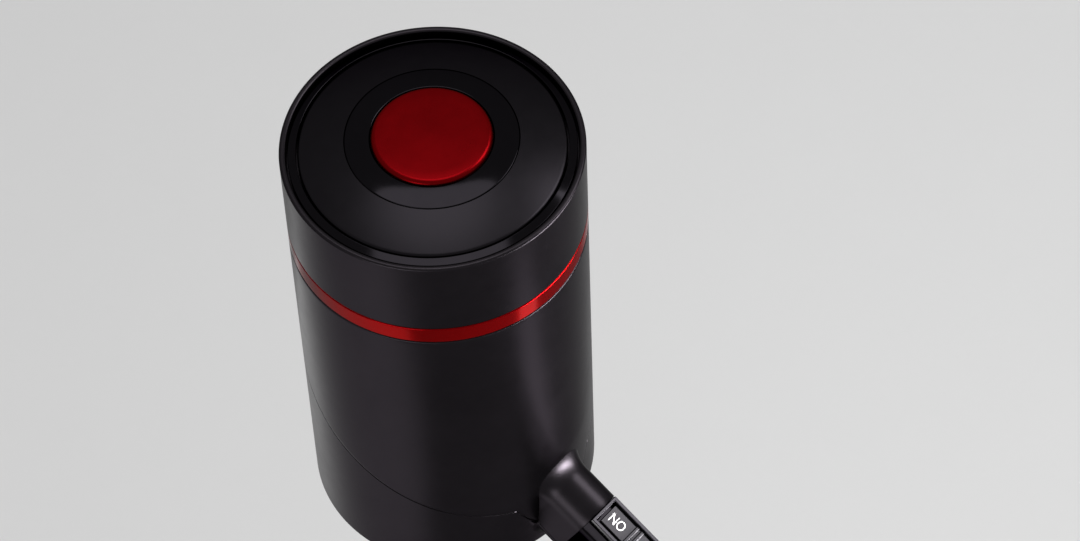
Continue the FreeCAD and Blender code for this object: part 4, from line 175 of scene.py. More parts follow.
class DispenserSizes(bpy.types.PropertyGroup):
    """Sizes of the surfaces, the same as the solid parts that they cover."""

    hairline: length("Hairline", "Gap between outer pieces that meet", 0.15)
    seat_gap: length("Seat gap", "Clearance of a piece on its seat", 0.05)
    slide_gap: length("Slide gap", "Clearance of the lower tube in its bush", 0.08)
    stop_gap: length("Stop gap", "Room between the button's stop flange and the polished ring", 0.1)
    guide_gap: length("Guide gap", "Clearance of the top plate's lip", 0.2)
    free_gap: length("Free gap", "Clearance on both sides of the bevel ring", 0.3)
    fine_round: length("Fine round", "Round of edges that are only broken", 0.1)
    soft_round: length("Soft round", "Round of moulded edges", 0.3)
    head_radius: length("Head radius", "Outer radius of the upright head", 29.0)
    band_radius: length("Band inner radius", "Inner radius of the red band and of the rim over it", 27.55)
    bore_radius: length("Bore radius", "Inner radius of the main housing", 27.2)
    housing_top: length("Housing top", "Level of the main housing's top edge", 84.15)
    ledge_level: length("Ledge level", "Level where the main housing's bore widens for the spigot", 80.2)
    edge_round: length("Edge round", "Round on the main housing's top edge", 0.3)
    seam_round: length("Seam round", "Round on both edges of the slanted seam", 0.18)
    seam_level: length("Seam level", "Height at which the slanted seam crosses the head's axis", 34.4)
    seam_angle: angle("Seam angle", "Slant of the seam between main housing and base", 28.9)
    seam_front: length("Seam front", "Distance before the axis where the slanted seam drops", 27.0)
    seam_drop: length("Seam drop", "Distance before the axis where the dropped seam meets the spout", 28.5)
    seam_bend: length("Seam bend", "Radius of the seam's two bends", 1.0)
    spout_level: length("Spout level", "Height at which the spout's axis crosses the head's axis", 33.7)
    spout_tilt: angle("Spout tilt", "Fall of the spout below level", 25.0)
    spout_radius: length("Spout radius", "Radius of the spout's round top", 5.65)
    spout_draft: angle("Spout draft", "Lean of the spout's sides", 4.7)
    spout_wall: length("Spout wall", "Wall of the spout's neck", 1.6)
    neck_round: length("Neck round", "Round on the neck's end", 0.12)
    seam_depth: length("Seam depth", "Depth of the spout's side seam below the spout's axis", 8.4)
    neck_reach: length("Neck reach", "Length of the neck along its axis", 42.0)
    flare_radius: length("Flare radius", "Radius of the flare where the spout leaves the head", 6.5)
    flare_sink: length("Flare sink", "How deep the flare's root lies in the head", 0.3)
    swell_rise: length("Swell rise", "How far the head swells over the spout", 0.8)
    swell_foot: length("Swell foot", "Level at which the swell begins", 6.0)
    swell_height: length("Swell height", "Height of the swell above the flare", 36.0)
    swell_spread: angle("Swell spread", "Half the width of the swell round the head", 34.0)
    rim_level: length("Rim level", "Level of the head's rim", 107.6)
    rim_round: length("Rim round", "Rounds of the head's rim", 0.55)
    rim_width: length("Rim width", "Width of the head's rim", 1.3)
    shelf_level: length("Shelf level", "Level of the shelf under the top plate", 105.0)
    shelf_bore: length("Shelf bore", "Radius of the hole in the shelf", 18.4)
    shelf_thick: length("Shelf thickness", "Thickness of the shelf", 1.6)
    spigot_low: length("Spigot foot", "Level of the upper housing's lowest edge", 80.5)
    spigot_wall: length("Spigot wall", "Wall of the upper housing's spigot", 1.5)
    band_top: length("Band top", "Level of the red band's upper edge", 88.5)
    band_low: length("Band foot", "Level of the red band's lower edge", 84.3)
    band_round: length("Band round", "Rounds of the red band's edges", 0.35)
    bevel_drop: length("Bevel drop", "Fall of the bevel ring's face", 0.5)
    plate_radius: length("Plate radius", "Outer radius of the top plate", 25.5)
    plate_bore: length("Plate bore", "Radius of the hole in the top plate", 16.65)
    plate_edge: length("Plate edge", "Level of the top plate's outer edge", 107.3)
    dome_level: length("Dome level", "Highest level of the top plate", 109.8)
    plate_lip: length("Plate lip", "Depth of the lip under the top plate", 2.0)
    plate_bevel: length("Plate bevel", "Width and fall of the bevel on the plate's edge", 0.5)
    plate_edge_arc: length("Plate edge arc", "Rise of the round on the plate's edge", 0.08)
    plate_dome_arc: length("Plate dome arc", "Rise of the dome between edge and bore", 0.12)
    bezel_radius: length("Bezel radius", "Outer radius of the polished ring round the button", 16.5)
    bezel_bore: length("Bezel bore", "Inner radius of the polished ring", 11.7)
    bezel_level: length("Bezel level", "Highest level of the polished ring", 110.4)
    bezel_skirt: length("Bezel skirt", "Depth of the polished ring's skirt below the shelf", 2.6)
    bezel_flange: length("Bezel flange", "Width of the polished ring's flange", 1.2)
    bezel_thick: length("Bezel thickness", "Thickness of the flange, and fall of the ring's face", 0.5)
    bezel_edge: length("Bezel edge", "Width of the ring's outer edge", 0.15)
    bezel_lip: length("Bezel lip", "Width and fall of the ring's inner edge", 0.25)
    bezel_edge_arc: length("Bezel edge arc", "Rise of the round on the ring's outer edge", 0.03)
    bezel_face_arc: length("Bezel face arc", "Rise of the ring's face and of its inner edge", 0.05)
    button_radius: length("Button radius", "Radius of the push button", 11.5)
    button_level: length("Button level", "Highest level of the push button", 111.3)
    button_foot: length("Button foot", "Level of the stem over the switch", 105.15)
    button_round: length("Button round", "Round of the push button's edge", 1.0)
    button_skin: length("Button skin", "Thickness of the push button's top", 1.6)
    button_wall: length("Button wall", "Wall of the push button's side", 1.4)
    button_flange: length("Button flange", "Width and thickness of the stop flange", 1.0)
    button_drop: length("Button drop", "Fall of the push button's crown to its edge", 0.25)
    button_crown: length("Button crown", "Width of the crown's outer part", 2.5)
    crown_rise: length("Crown rise", "Rise of the crown's outer part", 0.09)
    crown_arc: length("Crown arc", "Rise of the crown's middle over its chord", 0.02)
    stem_radius: length("Stem radius", "Radius of the button's stem", 1.8)
    flange_radius: length("Flange radius", "Radius of the plug's flange", 16.0)
    flange_level: length("Flange level", "Level of the top of the plug's flange", 2.95)
    flange_round: length("Flange round", "Round under the plug's flange", 0.8)
    plug_bore: length("Plug bore", "Radius of the hole through the plug", 6.05)
    plug_radius: length("Plug radius", "Radius of the plug between its ribs", 8.0)
    plug_rib: length("Plug rib", "Radius of the plug's ribs", 9.1)
    plug_pitch: length("Plug pitch", "Distance from rib to rib", 4.6)
    plug_length: length("Plug length", "Length of the plug below the bottle's lip", 27.0)
    plug_taper: length("Plug taper", "How much narrower the plug's end is", 1.0)
    plug_tip: length("Plug tip", "Length of the plug's narrower end, and room above the first rib", 2.0)
    rib_slope: length("Rib slope", "Height of a rib with its lower slope", 1.6)
    rib_width: length("Rib width", "Height of a rib's edge", 0.7)
    seal_radius: length("Seal radius", "Radius of the plug's smooth seal", 9.4)
    seal_length: length("Seal length", "Length of the plug's smooth seal", 6.5)
    seal_slope: length("Seal slope", "Height of the slope below the seal", 0.8)
    upper_tube: length("Upper tube", "Radius of the upper dip tube", 4.0)
    lower_tube: length("Lower tube", "Radius of the lower dip tube", 3.4)
    tube_wall: length("Tube wall", "Wall of the dip tubes", 0.35)
    bush_radius: length("Bush radius", "Radius of the bush at the upper tube's end", 5.0)
    upper_tube_foot: length("Upper tube foot", "Depth of the upper tube's end below the lip", 126.0)
    upper_tube_top: length("Upper tube top", "Level of the upper tube's top", 13.8)
    lower_tube_foot: length("Lower tube foot", "Depth of the lower tube's end, pushed in", 140.0)
    lower_tube_top: length("Lower tube top", "Depth of the lower tube's top, pushed in", 12.0)
    bush_foot: length("Bush foot", "Depth of the bush's end below the lip", 130.0)
    bush_length: length("Bush length", "Length of the bush", 8.0)
    bush_seat: length("Bush seat", "Level of the tube's seat above the bush's end", 3.95)
    bush_bevel: length("Bush bevel", "Width of the bevel at the bush's end", 0.5)
    bush_bevel_length: length("Bush bevel length", "Length of the bevel at the bush's end", 0.8)
    groove_low: length("Groove foot", "Level of the seal's groove above the bush's end", 1.6)
    groove_high: length("Groove top", "Level of the groove's top above the bush's end", 3.2)
    groove_deep: length("Groove depth", "Depth of the seal's groove", 1.0)
    nozzle_reach: length("Nozzle reach", "Distance of the nozzle before the head's axis", 53.065)
    nozzle_radius: length("Nozzle radius", "Outer radius of the nozzle", 4.2)
    nozzle_bore: length("Nozzle bore", "Inner radius of the nozzle", 3.1)
    nozzle_foot: length("Nozzle foot", "Depth of the nozzle's end below the bottle's lip", 5.53)
    nozzle_top: length("Nozzle top", "Level from which the nozzle's seat is measured", 2.77)
    nozzle_seat: length("Nozzle seat", "Depth of the nozzle's upper edge", 0.38)
    nozzle_throat: length("Nozzle throat", "Depth at which the nozzle's bore begins", 1.88)
    nozzle_bevel: length("Nozzle bevel", "Width of the nozzle's bevels", 0.4)
    nozzle_bevel_length: length("Nozzle bevel length", "Length of the nozzle's lower bevel", 0.6)
    slider_top: length("Slider top", "Height of the slide switch above the spout's axis", 5.8)
    edge_bevel: length("Switch bevel", "Bevel on the edges of the slide switch and its frame", 0.14)
    label_height: length("Label height", "Height of the letters on the slide switch", 2.2)
    label_length: length("Label length", "Length of the word ON along the slide switch", 3.7)
    second_length: length("Second label length", "Length of the word OFF along the slide switch", 4.995)
    label_place: length("Label place", "Place of the word ON along the spout", 46.25)
    second_place: length("Second label place", "Place of the word OFF along the spout", 54.6)
    floor_gap: length("Floor gap", "Room under the object, as much as the lower tube draws out", 105.5)
    floor_span: length("Floor span", "Side of the studio floor", 8000.0)


class DispenserColours(bpy.types.PropertyGroup):
    """Colours of the finishes."""

    body: colour("Body", "Satin charcoal lacquer of the head and the spout", 0.0175, 0.0153, 0.0178)
    plate: colour("Plate", "Satin black of the top plate", 0.0120, 0.0108, 0.0126)
    gloss: colour("Gloss black", "Polished black of the ring round the button", 0.0080, 0.0072, 0.0085)
    band: colour("Band red", "Polished red of the band", 0.16, 0.001, 0.002)
    button: colour("Button red", "Satin red of the push button", 0.12, 0.001, 0.002)
    silver: colour("Silver", "Silver paint of the slide switch", 0.038, 0.036, 0.040)
    chrome: colour("Chrome", "Dark bright plating of the switch frame", 0.024, 0.0225, 0.0255)
    steel: colour("Steel", "Drawn steel of the dip tubes", 0.58, 0.57, 0.56)
    letters: colour("Letters", "White paint of the switch letters", 0.80, 0.80, 0.80)
    floor: colour("Floor", "Pale studio floor", 0.78, 0.78, 0.78)


# Points on the head and the spout


def rounded(corners, steps):
    """A path (x, y, round) with a tangent arc at each corner: P = C + round * (cos t, sin t)."""
    corners = np.asarray(corners, float)
    points = [corners[:1, :2]]
    for before, (x, y, radius), after in zip(corners[:-2], corners[1:-1], corners[2:]):
        corner = np.array([x, y])
        if radius <= 0:
            points.append(corner[None])
            continue
        back = before[:2] - corner
        ahead = after[:2] - corner
        back /= np.linalg.norm(back)
        ahead /= np.linalg.norm(ahead)
        half = math.acos(np.clip(back @ ahead, -1, 1)) / 2
        middle = back + ahead
        centre = corner + middle / np.linalg.norm(middle) * radius / math.sin(half)
        start = corner + back * radius / math.tan(half) - centre
        end = corner + ahead * radius / math.tan(half) - centre
        first = math.atan2(start[1], start[0])
        turn = (math.atan2(end[1], end[0]) - first + math.pi) % (2 * math.pi) - math.pi
        angles = first + turn * np.linspace(0, 1, steps + 1)
        points.append(centre + radius * np.stack([np.cos(angles), np.sin(angles)], -1))
    points.append(corners[-1:, :2])
    return np.concatenate(points)


def grid_faces(rows, columns, start=0, wrap_rows=False, wrap_columns=True):
    """Quads of a grid of rows x columns points, numbered row by row."""
    row = np.arange(rows if wrap_rows else rows - 1)
    column = np.arange(columns if wrap_columns else columns - 1)
    row, column = np.meshgrid(row, column, indexing="ij")
    next_row = (row + 1) % rows
    next_column = (column + 1) % columns
    quads = np.stack([row * columns + column, row * columns + next_column,
                      next_row * columns + next_column, next_row * columns + column], -1)
    return quads.reshape(-1, 4) + start


def make_piece(name, points, faces, body, finish, nodes, crease=CREASE):
    """A mesh object from arrays of points and faces, smooth except at creases sharper than an angle."""
    mesh = bpy.data.meshes.new(name)
    mesh.from_pydata(points.tolist(), [], [face for block in faces for face in block.tolist()])
    return add_piece(name, mesh, body, finish, nodes, crease)


def add_piece(name, mesh, body, finish, nodes=(), crease=CREASE):
    """Gives a mesh its finish, smooth shading with weighted normals, and its place in the frame."""
    mesh.validate()
    mesh.shade_smooth()
    mesh.set_sharp_from_angle(angle=math.radians(crease))
    piece = bpy.data.objects.new(name, mesh)
    bpy.context.scene.collection.objects.link(piece)
    mesh.materials.clear()
    mesh.materials.append(finish)
    weighted = piece.modifiers.new("weighted_normal", "WEIGHTED_NORMAL")
    weighted.keep_sharp = True
    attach(piece, body)
    if nodes:
        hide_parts(*nodes)
    return piece


def lathe(name, profile, body, finish, nodes, at, crease):
    """A closed profile turned round an upright axis: P(t, v) = (x + r(v) cos t, y + r(v) sin t, z(v)).

    A profile that starts and ends on the axis makes a solid with one point at each pole.
    """
    radius, level = profile[:, 0], profile[:, 1]
    columns = TURN_COLUMNS
    turn = np.linspace(0, 2 * math.pi, columns, endpoint=False)
    poles = max(radius[0], radius[-1]) < SAME_PLACE * MM
    if poles:
        radius, level = radius[1:-1], level[1:-1]
    points = np.stack([radius[:, None] * np.cos(turn), radius[:, None] * np.sin(turn),
                       level[:, None] + 0 * turn], -1).reshape(-1, 3)
    rows = len(radius)
    faces = [grid_faces(rows, columns, wrap_rows=not poles)]
    if poles:
        ring = np.arange(columns)
        after = (ring + 1) % columns
        low = len(points)
        points = np.concatenate([points, [[0, 0, profile[0, 1]], [0, 0, profile[-1, 1]]]])
        last = (rows - 1) * columns
        faces.append(np.stack([after, ring, 0 * ring + low], -1))
        faces.append(np.stack([last + ring, last + after, 0 * ring + low + 1], -1))
    points = points + np.array([*at, 0.0]) * (MM, MM, 1.0)
    return make_piece(name, points, faces, body, finish, nodes, crease)


def swell(sizes, turn, level):
    """Swell of the head over the spout: s(z) cos^2(90 deg t / spread)."""
    crease = sizes.spout_level - sizes.flare_radius / 2
    above = np.clip((crease + sizes.swell_height - level) / sizes.swell_height, 0, 1) ** 2
    share = np.clip((level - sizes.swell_foot) / (crease - sizes.swell_foot), 0, 1)
    height = np.where(level >= crease, above, share * share * (3 - 2 * share))
    bump = np.cos(np.clip(np.abs(turn) / sizes.swell_spread, 0, 1) * math.pi / 2) ** 2
    return sizes.swell_rise * height * bump


def head_points(sizes, turn, level, inset=0.0):
    """Points of the head: P(t, z) = ((R + swell - inset) sin t, -(R + swell - inset) cos t, z)."""
    reach = sizes.head_radius + swell(sizes, turn, level) - inset
    return np.stack([reach * np.sin(turn), -reach * np.cos(turn), level + 0 * reach], -1)


def seam_line(sizes):
    """The seam seen from the side: levels over distances before the axis, with two bends."""
    slope = math.tan(sizes.seam_angle)
    sin, cos = math.sin(sizes.spout_tilt), math.cos(sizes.spout_tilt)

    def under_spout(reach):
        return sizes.spout_level - (reach + sizes.seam_depth * sin) * sin / cos - sizes.seam_depth * cos

    front, drop, far = sizes.seam_front, sizes.seam_drop, 3 * sizes.head_radius
    return rounded([(-far, sizes.seam_level + far * slope, 0),
                    (front, sizes.seam_level - front * slope, sizes.seam_bend),
                    (drop, under_spout(drop), sizes.seam_bend),
                    (far, under_spout(far), 0)], SEAM_STEPS)


def seam_level(sizes, turn, inset=0.0):
    """Level of the seam round the head, found in a few passes because the swell moves it."""
    line = seam_line(sizes)
    level = np.full_like(turn, sizes.seam_level)
    for _ in range(SEAM_PASSES):
        reach = sizes.head_radius + swell(sizes, turn, level) - inset
        level = np.interp(reach * np.cos(turn), line[:, 0], line[:, 1])
    return level


def spout_frame(sizes, across, rise, along):
    """Points given across the spout, above its axis and along it."""
    sin, cos = math.sin(sizes.spout_tilt), math.cos(sizes.spout_tilt)
    return np.stack([across, -along * cos - rise * sin, sizes.spout_level - along * sin + rise * cos], -1)


# Materials


class Signal:
    """A number inside a finish, with plain arithmetic."""

    def __init__(self, graph, socket):
        self.graph = graph
        self.socket = socket

    def __add__(self, other):
        return self.graph.maths("ADD", self, other)

    def __sub__(self, other):
        return self.graph.maths("SUBTRACT", self, other)

    def __rsub__(self, other):
        return self.graph.maths("SUBTRACT", other, self)

    def __mul__(self, other):
        return self.graph.maths("MULTIPLY", self, other)

    __radd__ = __add__
    __rmul__ = __mul__


class Graph:
    """The node tree of a new material or world."""

    def __init__(self, owner):
        self.owner = owner
        self.owner.use_nodes = True
        self.tree = self.owner.node_tree
        self.tree.nodes.clear()

    def node(self, kind, settings=None, inputs=None, output=0):
        """Adds a node of any type: its settings first, then its sockets."""
        item = self.tree.nodes.new(kind)
        for key, value in (settings or {}).items():
            setattr(item, key, value)
        for key, value in (inputs or {}).items():
            if isinstance(value, Signal):
                self.tree.links.new(value.socket, item.inputs[key])
            else:
                item.inputs[key].default_value = value
        return Signal(self, item.outputs[output]) if item.outputs else None

    def maths(self, operation, first, second):
        return self.node("ShaderNodeMath", {"operation": operation}, {0: first, 1: second})

    def clamp(self, value):
        return self.node("ShaderNodeClamp", None, {0: value})

    def place(self, scale):
        """The place on the piece, scaled per axis."""
        spot = self.node("ShaderNodeTexCoord", output="Object")
        return self.node("ShaderNodeVectorMath", {"operation": "MULTIPLY"}, {0: spot, 1: scale})

    def noise(self, scale, detail):
        """Noise from 0 to 1 whose cells are about a metre over scale wide, per axis."""
        return self.node("ShaderNodeTexNoise", {"noise_dimensions": "3D"},
                         {"Vector": self.place(scale), "Scale": 1.0, "Detail": detail})

    def blend(self, share, first, second):
        """A colour between two others."""
        return self.node("ShaderNodeMix", {"data_type": "RGBA"},
                         {"Factor": share, 6: first, 7: second}, 2)


def finish(name, tint, roughness, grain=0.0, grain_size=0.2, mottle=0.06, metallic=0.0, coat=0.0,
           stretch=(1.0, 1.0, 1.0), shade=0.85, level=0.5, through=0.0, edge=1.0):
    """A finish with a fine grain, a soft mottle in its colour and polish, and a coat if it has one.

    grain is the depth of the grain in millimetres, grain_size its width, and stretch draws it out.
    shade is the mottle's darker share of the tint, level the mirror strength seen straight on, edge
    the mirror colour at a glancing angle, and through how far light passes into the piece.
    """
    graph = Graph(bpy.data.materials.new(name))
    fine = 1.0 / (grain_size * MM)
    grains = graph.noise(tuple(fine / part for part in stretch), GRAIN_DETAIL)
    broad = graph.noise((BROAD_CELLS,) * 3, BROAD_DETAIL)
    middle = graph.noise((MIDDLE_CELLS,) * 3, MIDDLE_DETAIL)
    uneven = (broad - 0.5) * BROAD_SHARE + (middle - 0.5) * MIDDLE_SHARE
    base = (*tint, 1.0)
    dark = (*(part * shade for part in tint), 1.0)
    inputs = {
        "Base Color": graph.blend(graph.clamp(uneven + 0.5), dark, base),
        "Roughness": graph.clamp(uneven * mottle + (grains - 0.5) * mottle + roughness),
        "Metallic": metallic,
        "Specular IOR Level": level,
        "Specular Tint": (edge, edge, edge, 1.0),
        "Coat Weight": coat,
        "Coat Roughness": COAT_ROUGHNESS,
        "Subsurface Weight": through,
        "Subsurface Scale": LIGHT_SPREAD,
    }
    if grain > 0:
        inputs["Normal"] = graph.node("ShaderNodeBump", None,
                                      {"Strength": 1.0, "Distance": grain * MM, "Height": grains})
    shader = graph.node("ShaderNodeBsdfPrincipled", None, inputs)
    graph.node("ShaderNodeOutputMaterial", None, {"Surface": shader})
    return graph.owner


FINISHES = {}


def paint_table(colours):
    """What each material slot of the record looks like."""
    return {
        "satin_black": dict(tint=colours.body, roughness=0.32, grain=0.003, grain_size=0.22, metallic=1.0,
                            edge=0.47),
        "plate_black": dict(tint=colours.plate, roughness=0.30, grain=0.003, grain_size=0.22, metallic=1.0,
                            edge=0.35),
        "gloss_black": dict(tint=colours.gloss, roughness=0.08, grain=0.0005, grain_size=1.2, mottle=0.02,
                            metallic=1.0, edge=0.2),
        "gloss_red": dict(tint=colours.band, roughness=0.16, grain=0.0005, grain_size=1.0, mottle=0.03,
                          metallic=0.8, level=0.03, coat=0.015, edge=0.2),
        "satin_red": dict(tint=colours.button, roughness=0.30, grain=0.002, grain_size=0.25, metallic=0.85,
                          level=0.04, edge=0.3),
        "silver": dict(tint=colours.silver, roughness=0.34, grain=0.003, grain_size=0.2, metallic=0.8,
                       level=0.2),
        "chrome": dict(tint=colours.chrome, roughness=0.10, mottle=0.04, metallic=1.0),
        "steel": dict(tint=colours.steel, roughness=0.26, grain=0.0015, grain_size=0.12, metallic=1.0,
                      stretch=(1.0, 1.0, 60.0)),
        "silicone_black": dict(tint=(0.012, 0.012, 0.013), roughness=0.62, grain=0.008, grain_size=0.3,
                               level=0.3),
        "silicone_pale": dict(tint=(0.72, 0.71, 0.66), roughness=0.48, grain=0.004, grain_size=0.3,
                              through=0.3),
        "food_plastic": dict(tint=(0.78, 0.78, 0.75), roughness=0.32, grain=0.003, grain_size=0.4,
                             through=0.2),
        "black_plastic": dict(tint=(0.030, 0.030, 0.031), roughness=0.46, grain=0.006, grain_size=0.3),
        "board_green": dict(tint=(0.015, 0.13, 0.045), roughness=0.36, grain=0.004, grain_size=0.5,
                            coat=0.3),
        "cell_wrap": dict(tint=(0.03, 0.18, 0.42), roughness=0.30, grain=0.002, grain_size=0.8, coat=0.5),
        "bright_metal": dict(tint=(0.70, 0.70, 0.69), roughness=0.22, grain=0.001, metallic=1.0),
        "bronze": dict(tint=(0.52, 0.32, 0.14), roughness=0.34, grain=0.003, metallic=1.0),
    }


def node_slots():
    """The material slot of each node in the record."""
    return {part["node"]: part["material_slot"] for part in frame["record"]["subparts"]}


class DispenserOperator:
    """What the operators share."""

    bl_options = {"REGISTER", "UNDO"}

    @property
    def sizes(self):
        return bpy.context.scene.dispenser_sizes

    @property
    def colours(self):
        return bpy.context.scene.dispenser_colours


class DISPENSER_OT_finishes(DispenserOperator, bpy.types.Operator):
    """Makes the finishes and gives every solid part its own"""

    bl_idname = "dispenser.finishes"
    bl_label = "Finishes"

    def execute(self, context):
        for slot, recipe in paint_table(self.colours).items():
            recipe["tint"] = tuple(recipe["tint"])
            FINISHES[slot] = finish(slot, **recipe)
        FINISHES["letters"] = finish("letters", tuple(self.colours.letters), roughness=0.45,
                                     grain=0.001, mottle=0.05)
        for name, slot in node_slots().items():
            mesh = frame["nodes"][name].data
            mesh.materials.clear()
            mesh.materials.append(FINISHES[NODE_LOOKS.get(name, slot)])
        return {"FINISHED"}


class DISPENSER_OT_housing(DispenserOperator, bpy.types.Operator):
    """Main housing: a round shell cut by the slanted seam, with the spout's flared neck"""

    bl_idname = "dispenser.housing"
    bl_label = "Main housing"

    def shell(self):
        """P(t, v): t runs round the head; v runs up the outer wall, over the edge and down the bore."""
        sizes = self.sizes
        turn = np.linspace(-math.pi, math.pi, SHELL_COLUMNS, endpoint=False)
        spread = np.sign(turn) * math.pi * np.abs(turn / math.pi) ** SHELL_PACKING
        seam = seam_level(sizes, spread)
        top = sizes.housing_top
        small, edge = sizes.seam_round, sizes.edge_round
        quarter = np.linspace(0, math.pi / 2, SHELL_ROUND_ROWS)
        rows = []
        for bend in quarter[::-1]:
            rows.append(head_points(sizes, spread, seam + small * (1 - math.sin(bend)),
                                    small * (1 - math.cos(bend))))
        for share in np.linspace(0, 1, SHELL_ROWS)[1:-1]:
            rows.append(head_points(sizes, spread, seam + small + (top - edge - seam - small) * share))
        for bend in quarter:
            rows.append(head_points(sizes, spread, top - edge * (1 - math.sin(bend)),
                                    edge * (1 - math.cos(bend))))
        bore = sizes.head_radius - sizes.bore_radius
        wide = sizes.head_radius - sizes.band_radius
        ledge = sizes.ledge_level
        inner = seam_level(sizes, spread, bore)
        for inset, level in ((wide, top), (wide, ledge), (bore, ledge), (bore, None)):
            height = inner if level is None else np.full_like(spread, level)
            rows.append(np.stack([(sizes.head_radius - inset) * np.sin(spread),
                                  -(sizes.head_radius - inset) * np.cos(spread), height], -1))
        points = np.stack(rows)
        return points.reshape(-1, 3), grid_faces(len(rows), SHELL_COLUMNS, wrap_rows=True)

    def neck_rows(self):
        """Each row's place along the spout's axis, the lift of its top and the radius of its round."""
        sizes = self.sizes
        radius, flare, edge = sizes.spout_radius, sizes.flare_radius, sizes.neck_round
        sin, cos = math.sin(sizes.spout_tilt), math.cos(sizes.spout_tilt)
        # The flare's arc ends where the neck runs straight out of the head
        reach = sizes.head_radius + sizes.swell_rise - sizes.flare_sink
        root = (reach - radius * sin + flare * (1 - sin)) / cos
        turn = np.radians(np.linspace(FLARE_TURN, 0, FLARE_ROWS))
        grow = flare * (1 - np.cos(turn))
        side = grow * FLARE_SHARE
        straight = np.linspace(root, sizes.neck_reach, NECK_ROWS)[1:]
        rounds = edge * (1 - np.cos(np.linspace(0, math.pi / 2, NECK_ROUND_ROWS)))[1:]
        end = sizes.neck_reach + edge * NECK_LIP
        along = np.concatenate([root - flare * np.sin(turn), straight, end + 0 * rounds])
        lift = np.concatenate([grow - side, 0 * straight, 0 * rounds])
        outer = np.concatenate([radius + side, radius + 0 * straight, radius - rounds])
        return along, lift, outer

    def neck(self, start):
        """P(u, v): u runs round the neck's section, v along its axis; the root flares into the head."""
        sizes = self.sizes
        sin, cos = math.sin(sizes.spout_tilt), math.cos(sizes.spout_tilt)
        along, lift, outer = self.neck_rows()
        # The side seam below the axis, turned into the spout's own frame
        line = seam_line(sizes)
        seam_along = line[:, 0] * cos - (line[:, 1] - sizes.spout_level) * sin
        seam_rise = line[:, 0] * sin + (line[:, 1] - sizes.spout_level) * cos
        depth = -np.interp(along, seam_along, seam_rise)
        contour = self.section(outer, lift, depth)
        inner = np.full_like(outer, sizes.spout_radius - sizes.spout_wall)
        hollow = self.section(inner, 0 * lift, depth)[:, ::-1]
        loop = np.concatenate([contour, hollow], 1)
        points = spout_frame(sizes, loop[..., 0], loop[..., 1], along[:, None] + 0 * loop[..., 0])
        count, half = loop.shape[1], contour.shape[1]
        faces = [grid_faces(len(along), count, start)]
        # Both ends are closed between the outer contour and the hollow
        pair = np.arange(half - 1)
        cap = np.stack([pair, pair + 1, count - 2 - pair, count - 1 - pair], -1)
        last = (len(along) - 1) * count
        faces.append(cap + start)
        faces.append(cap[:, ::-1] + start + last)
        return points.reshape(-1, 3), faces

    def section(self, radius, lift, depth):
        """Half of the spout's section above its side seam: an arc, and drafted sides that run down."""
        draft = self.sizes.spout_draft
        angles = np.linspace(draft, math.pi - draft, SECTION_ARC_POINTS)
        across = radius[:, None] * np.cos(angles)
        rise = lift[:, None] + radius[:, None] * np.sin(angles)
        run = (lift + radius * math.sin(draft) + depth) / math.cos(draft)
        share = np.linspace(1, 0, SECTION_SIDE_POINTS)[:-1]
        side_across = radius[:, None] * math.cos(draft) + run[:, None] * share * math.sin(draft)
        side_rise = rise[:, :1] - run[:, None] * share * math.cos(draft)
        across = np.concatenate([side_across, across, -side_across[:, ::-1]], 1)
        rise = np.concatenate([side_rise, rise, side_rise[:, ::-1]], 1)
        return np.stack([across, rise], -1)

    def execute(self, context):
        shell, shell_faces = self.shell()
        neck, neck_faces = self.neck(len(shell))
        make_piece("main_housing_shell", np.concatenate([shell, neck]), [shell_faces, *neck_faces],
                   "head", FINISHES["satin_black"], ["main_housing"])
        return {"FINISHED"}


def crowned(start, end, rise, steps):
    """A path between two points that swells by rise: P(s) = A + s (B - A) + 4 rise s (1 - s) n."""
    start, end = np.array(start, float), np.array(end, float)
    share = np.linspace(0, 1, steps + 1)[:, None]
    run = end - start
    normal = np.array([-run[1], run[0]]) / np.linalg.norm(run)
    return start + share * run + 4 * rise * share * (1 - share) * normal


def merged_copy(node, bevel=0.0):
    """A welded, smoothly shaded copy of a solid part that stands for it."""
    slot = node_slots()[node]
    mesh = frame["nodes"][node].data.copy()
    mesh.name = f"{node}_smooth"
    work = bmesh.new()
    work.from_mesh(mesh)
    bmesh.ops.remove_doubles(work, verts=work.verts, dist=WELD)
    bmesh.ops.recalc_face_normals(work, faces=work.faces)
    bmesh.ops.dissolve_limit(work, angle_limit=math.radians(FLAT_ANGLE),
                             verts=work.verts, edges=work.edges)
    work.to_mesh(mesh)
    work.free()
    piece = add_piece(mesh.name, mesh, node_bodies()[node], FINISHES[slot], [node], MERGED_CREASE)
    if bevel:
        soft = piece.modifiers.new("soft_edges", "BEVEL")
        soft.width = bevel
        soft.segments = BEVEL_STEPS
        soft.limit_method = "ANGLE"
        soft.angle_limit = math.radians(CREASE)
        piece.modifiers.move(1, 0)
    return piece


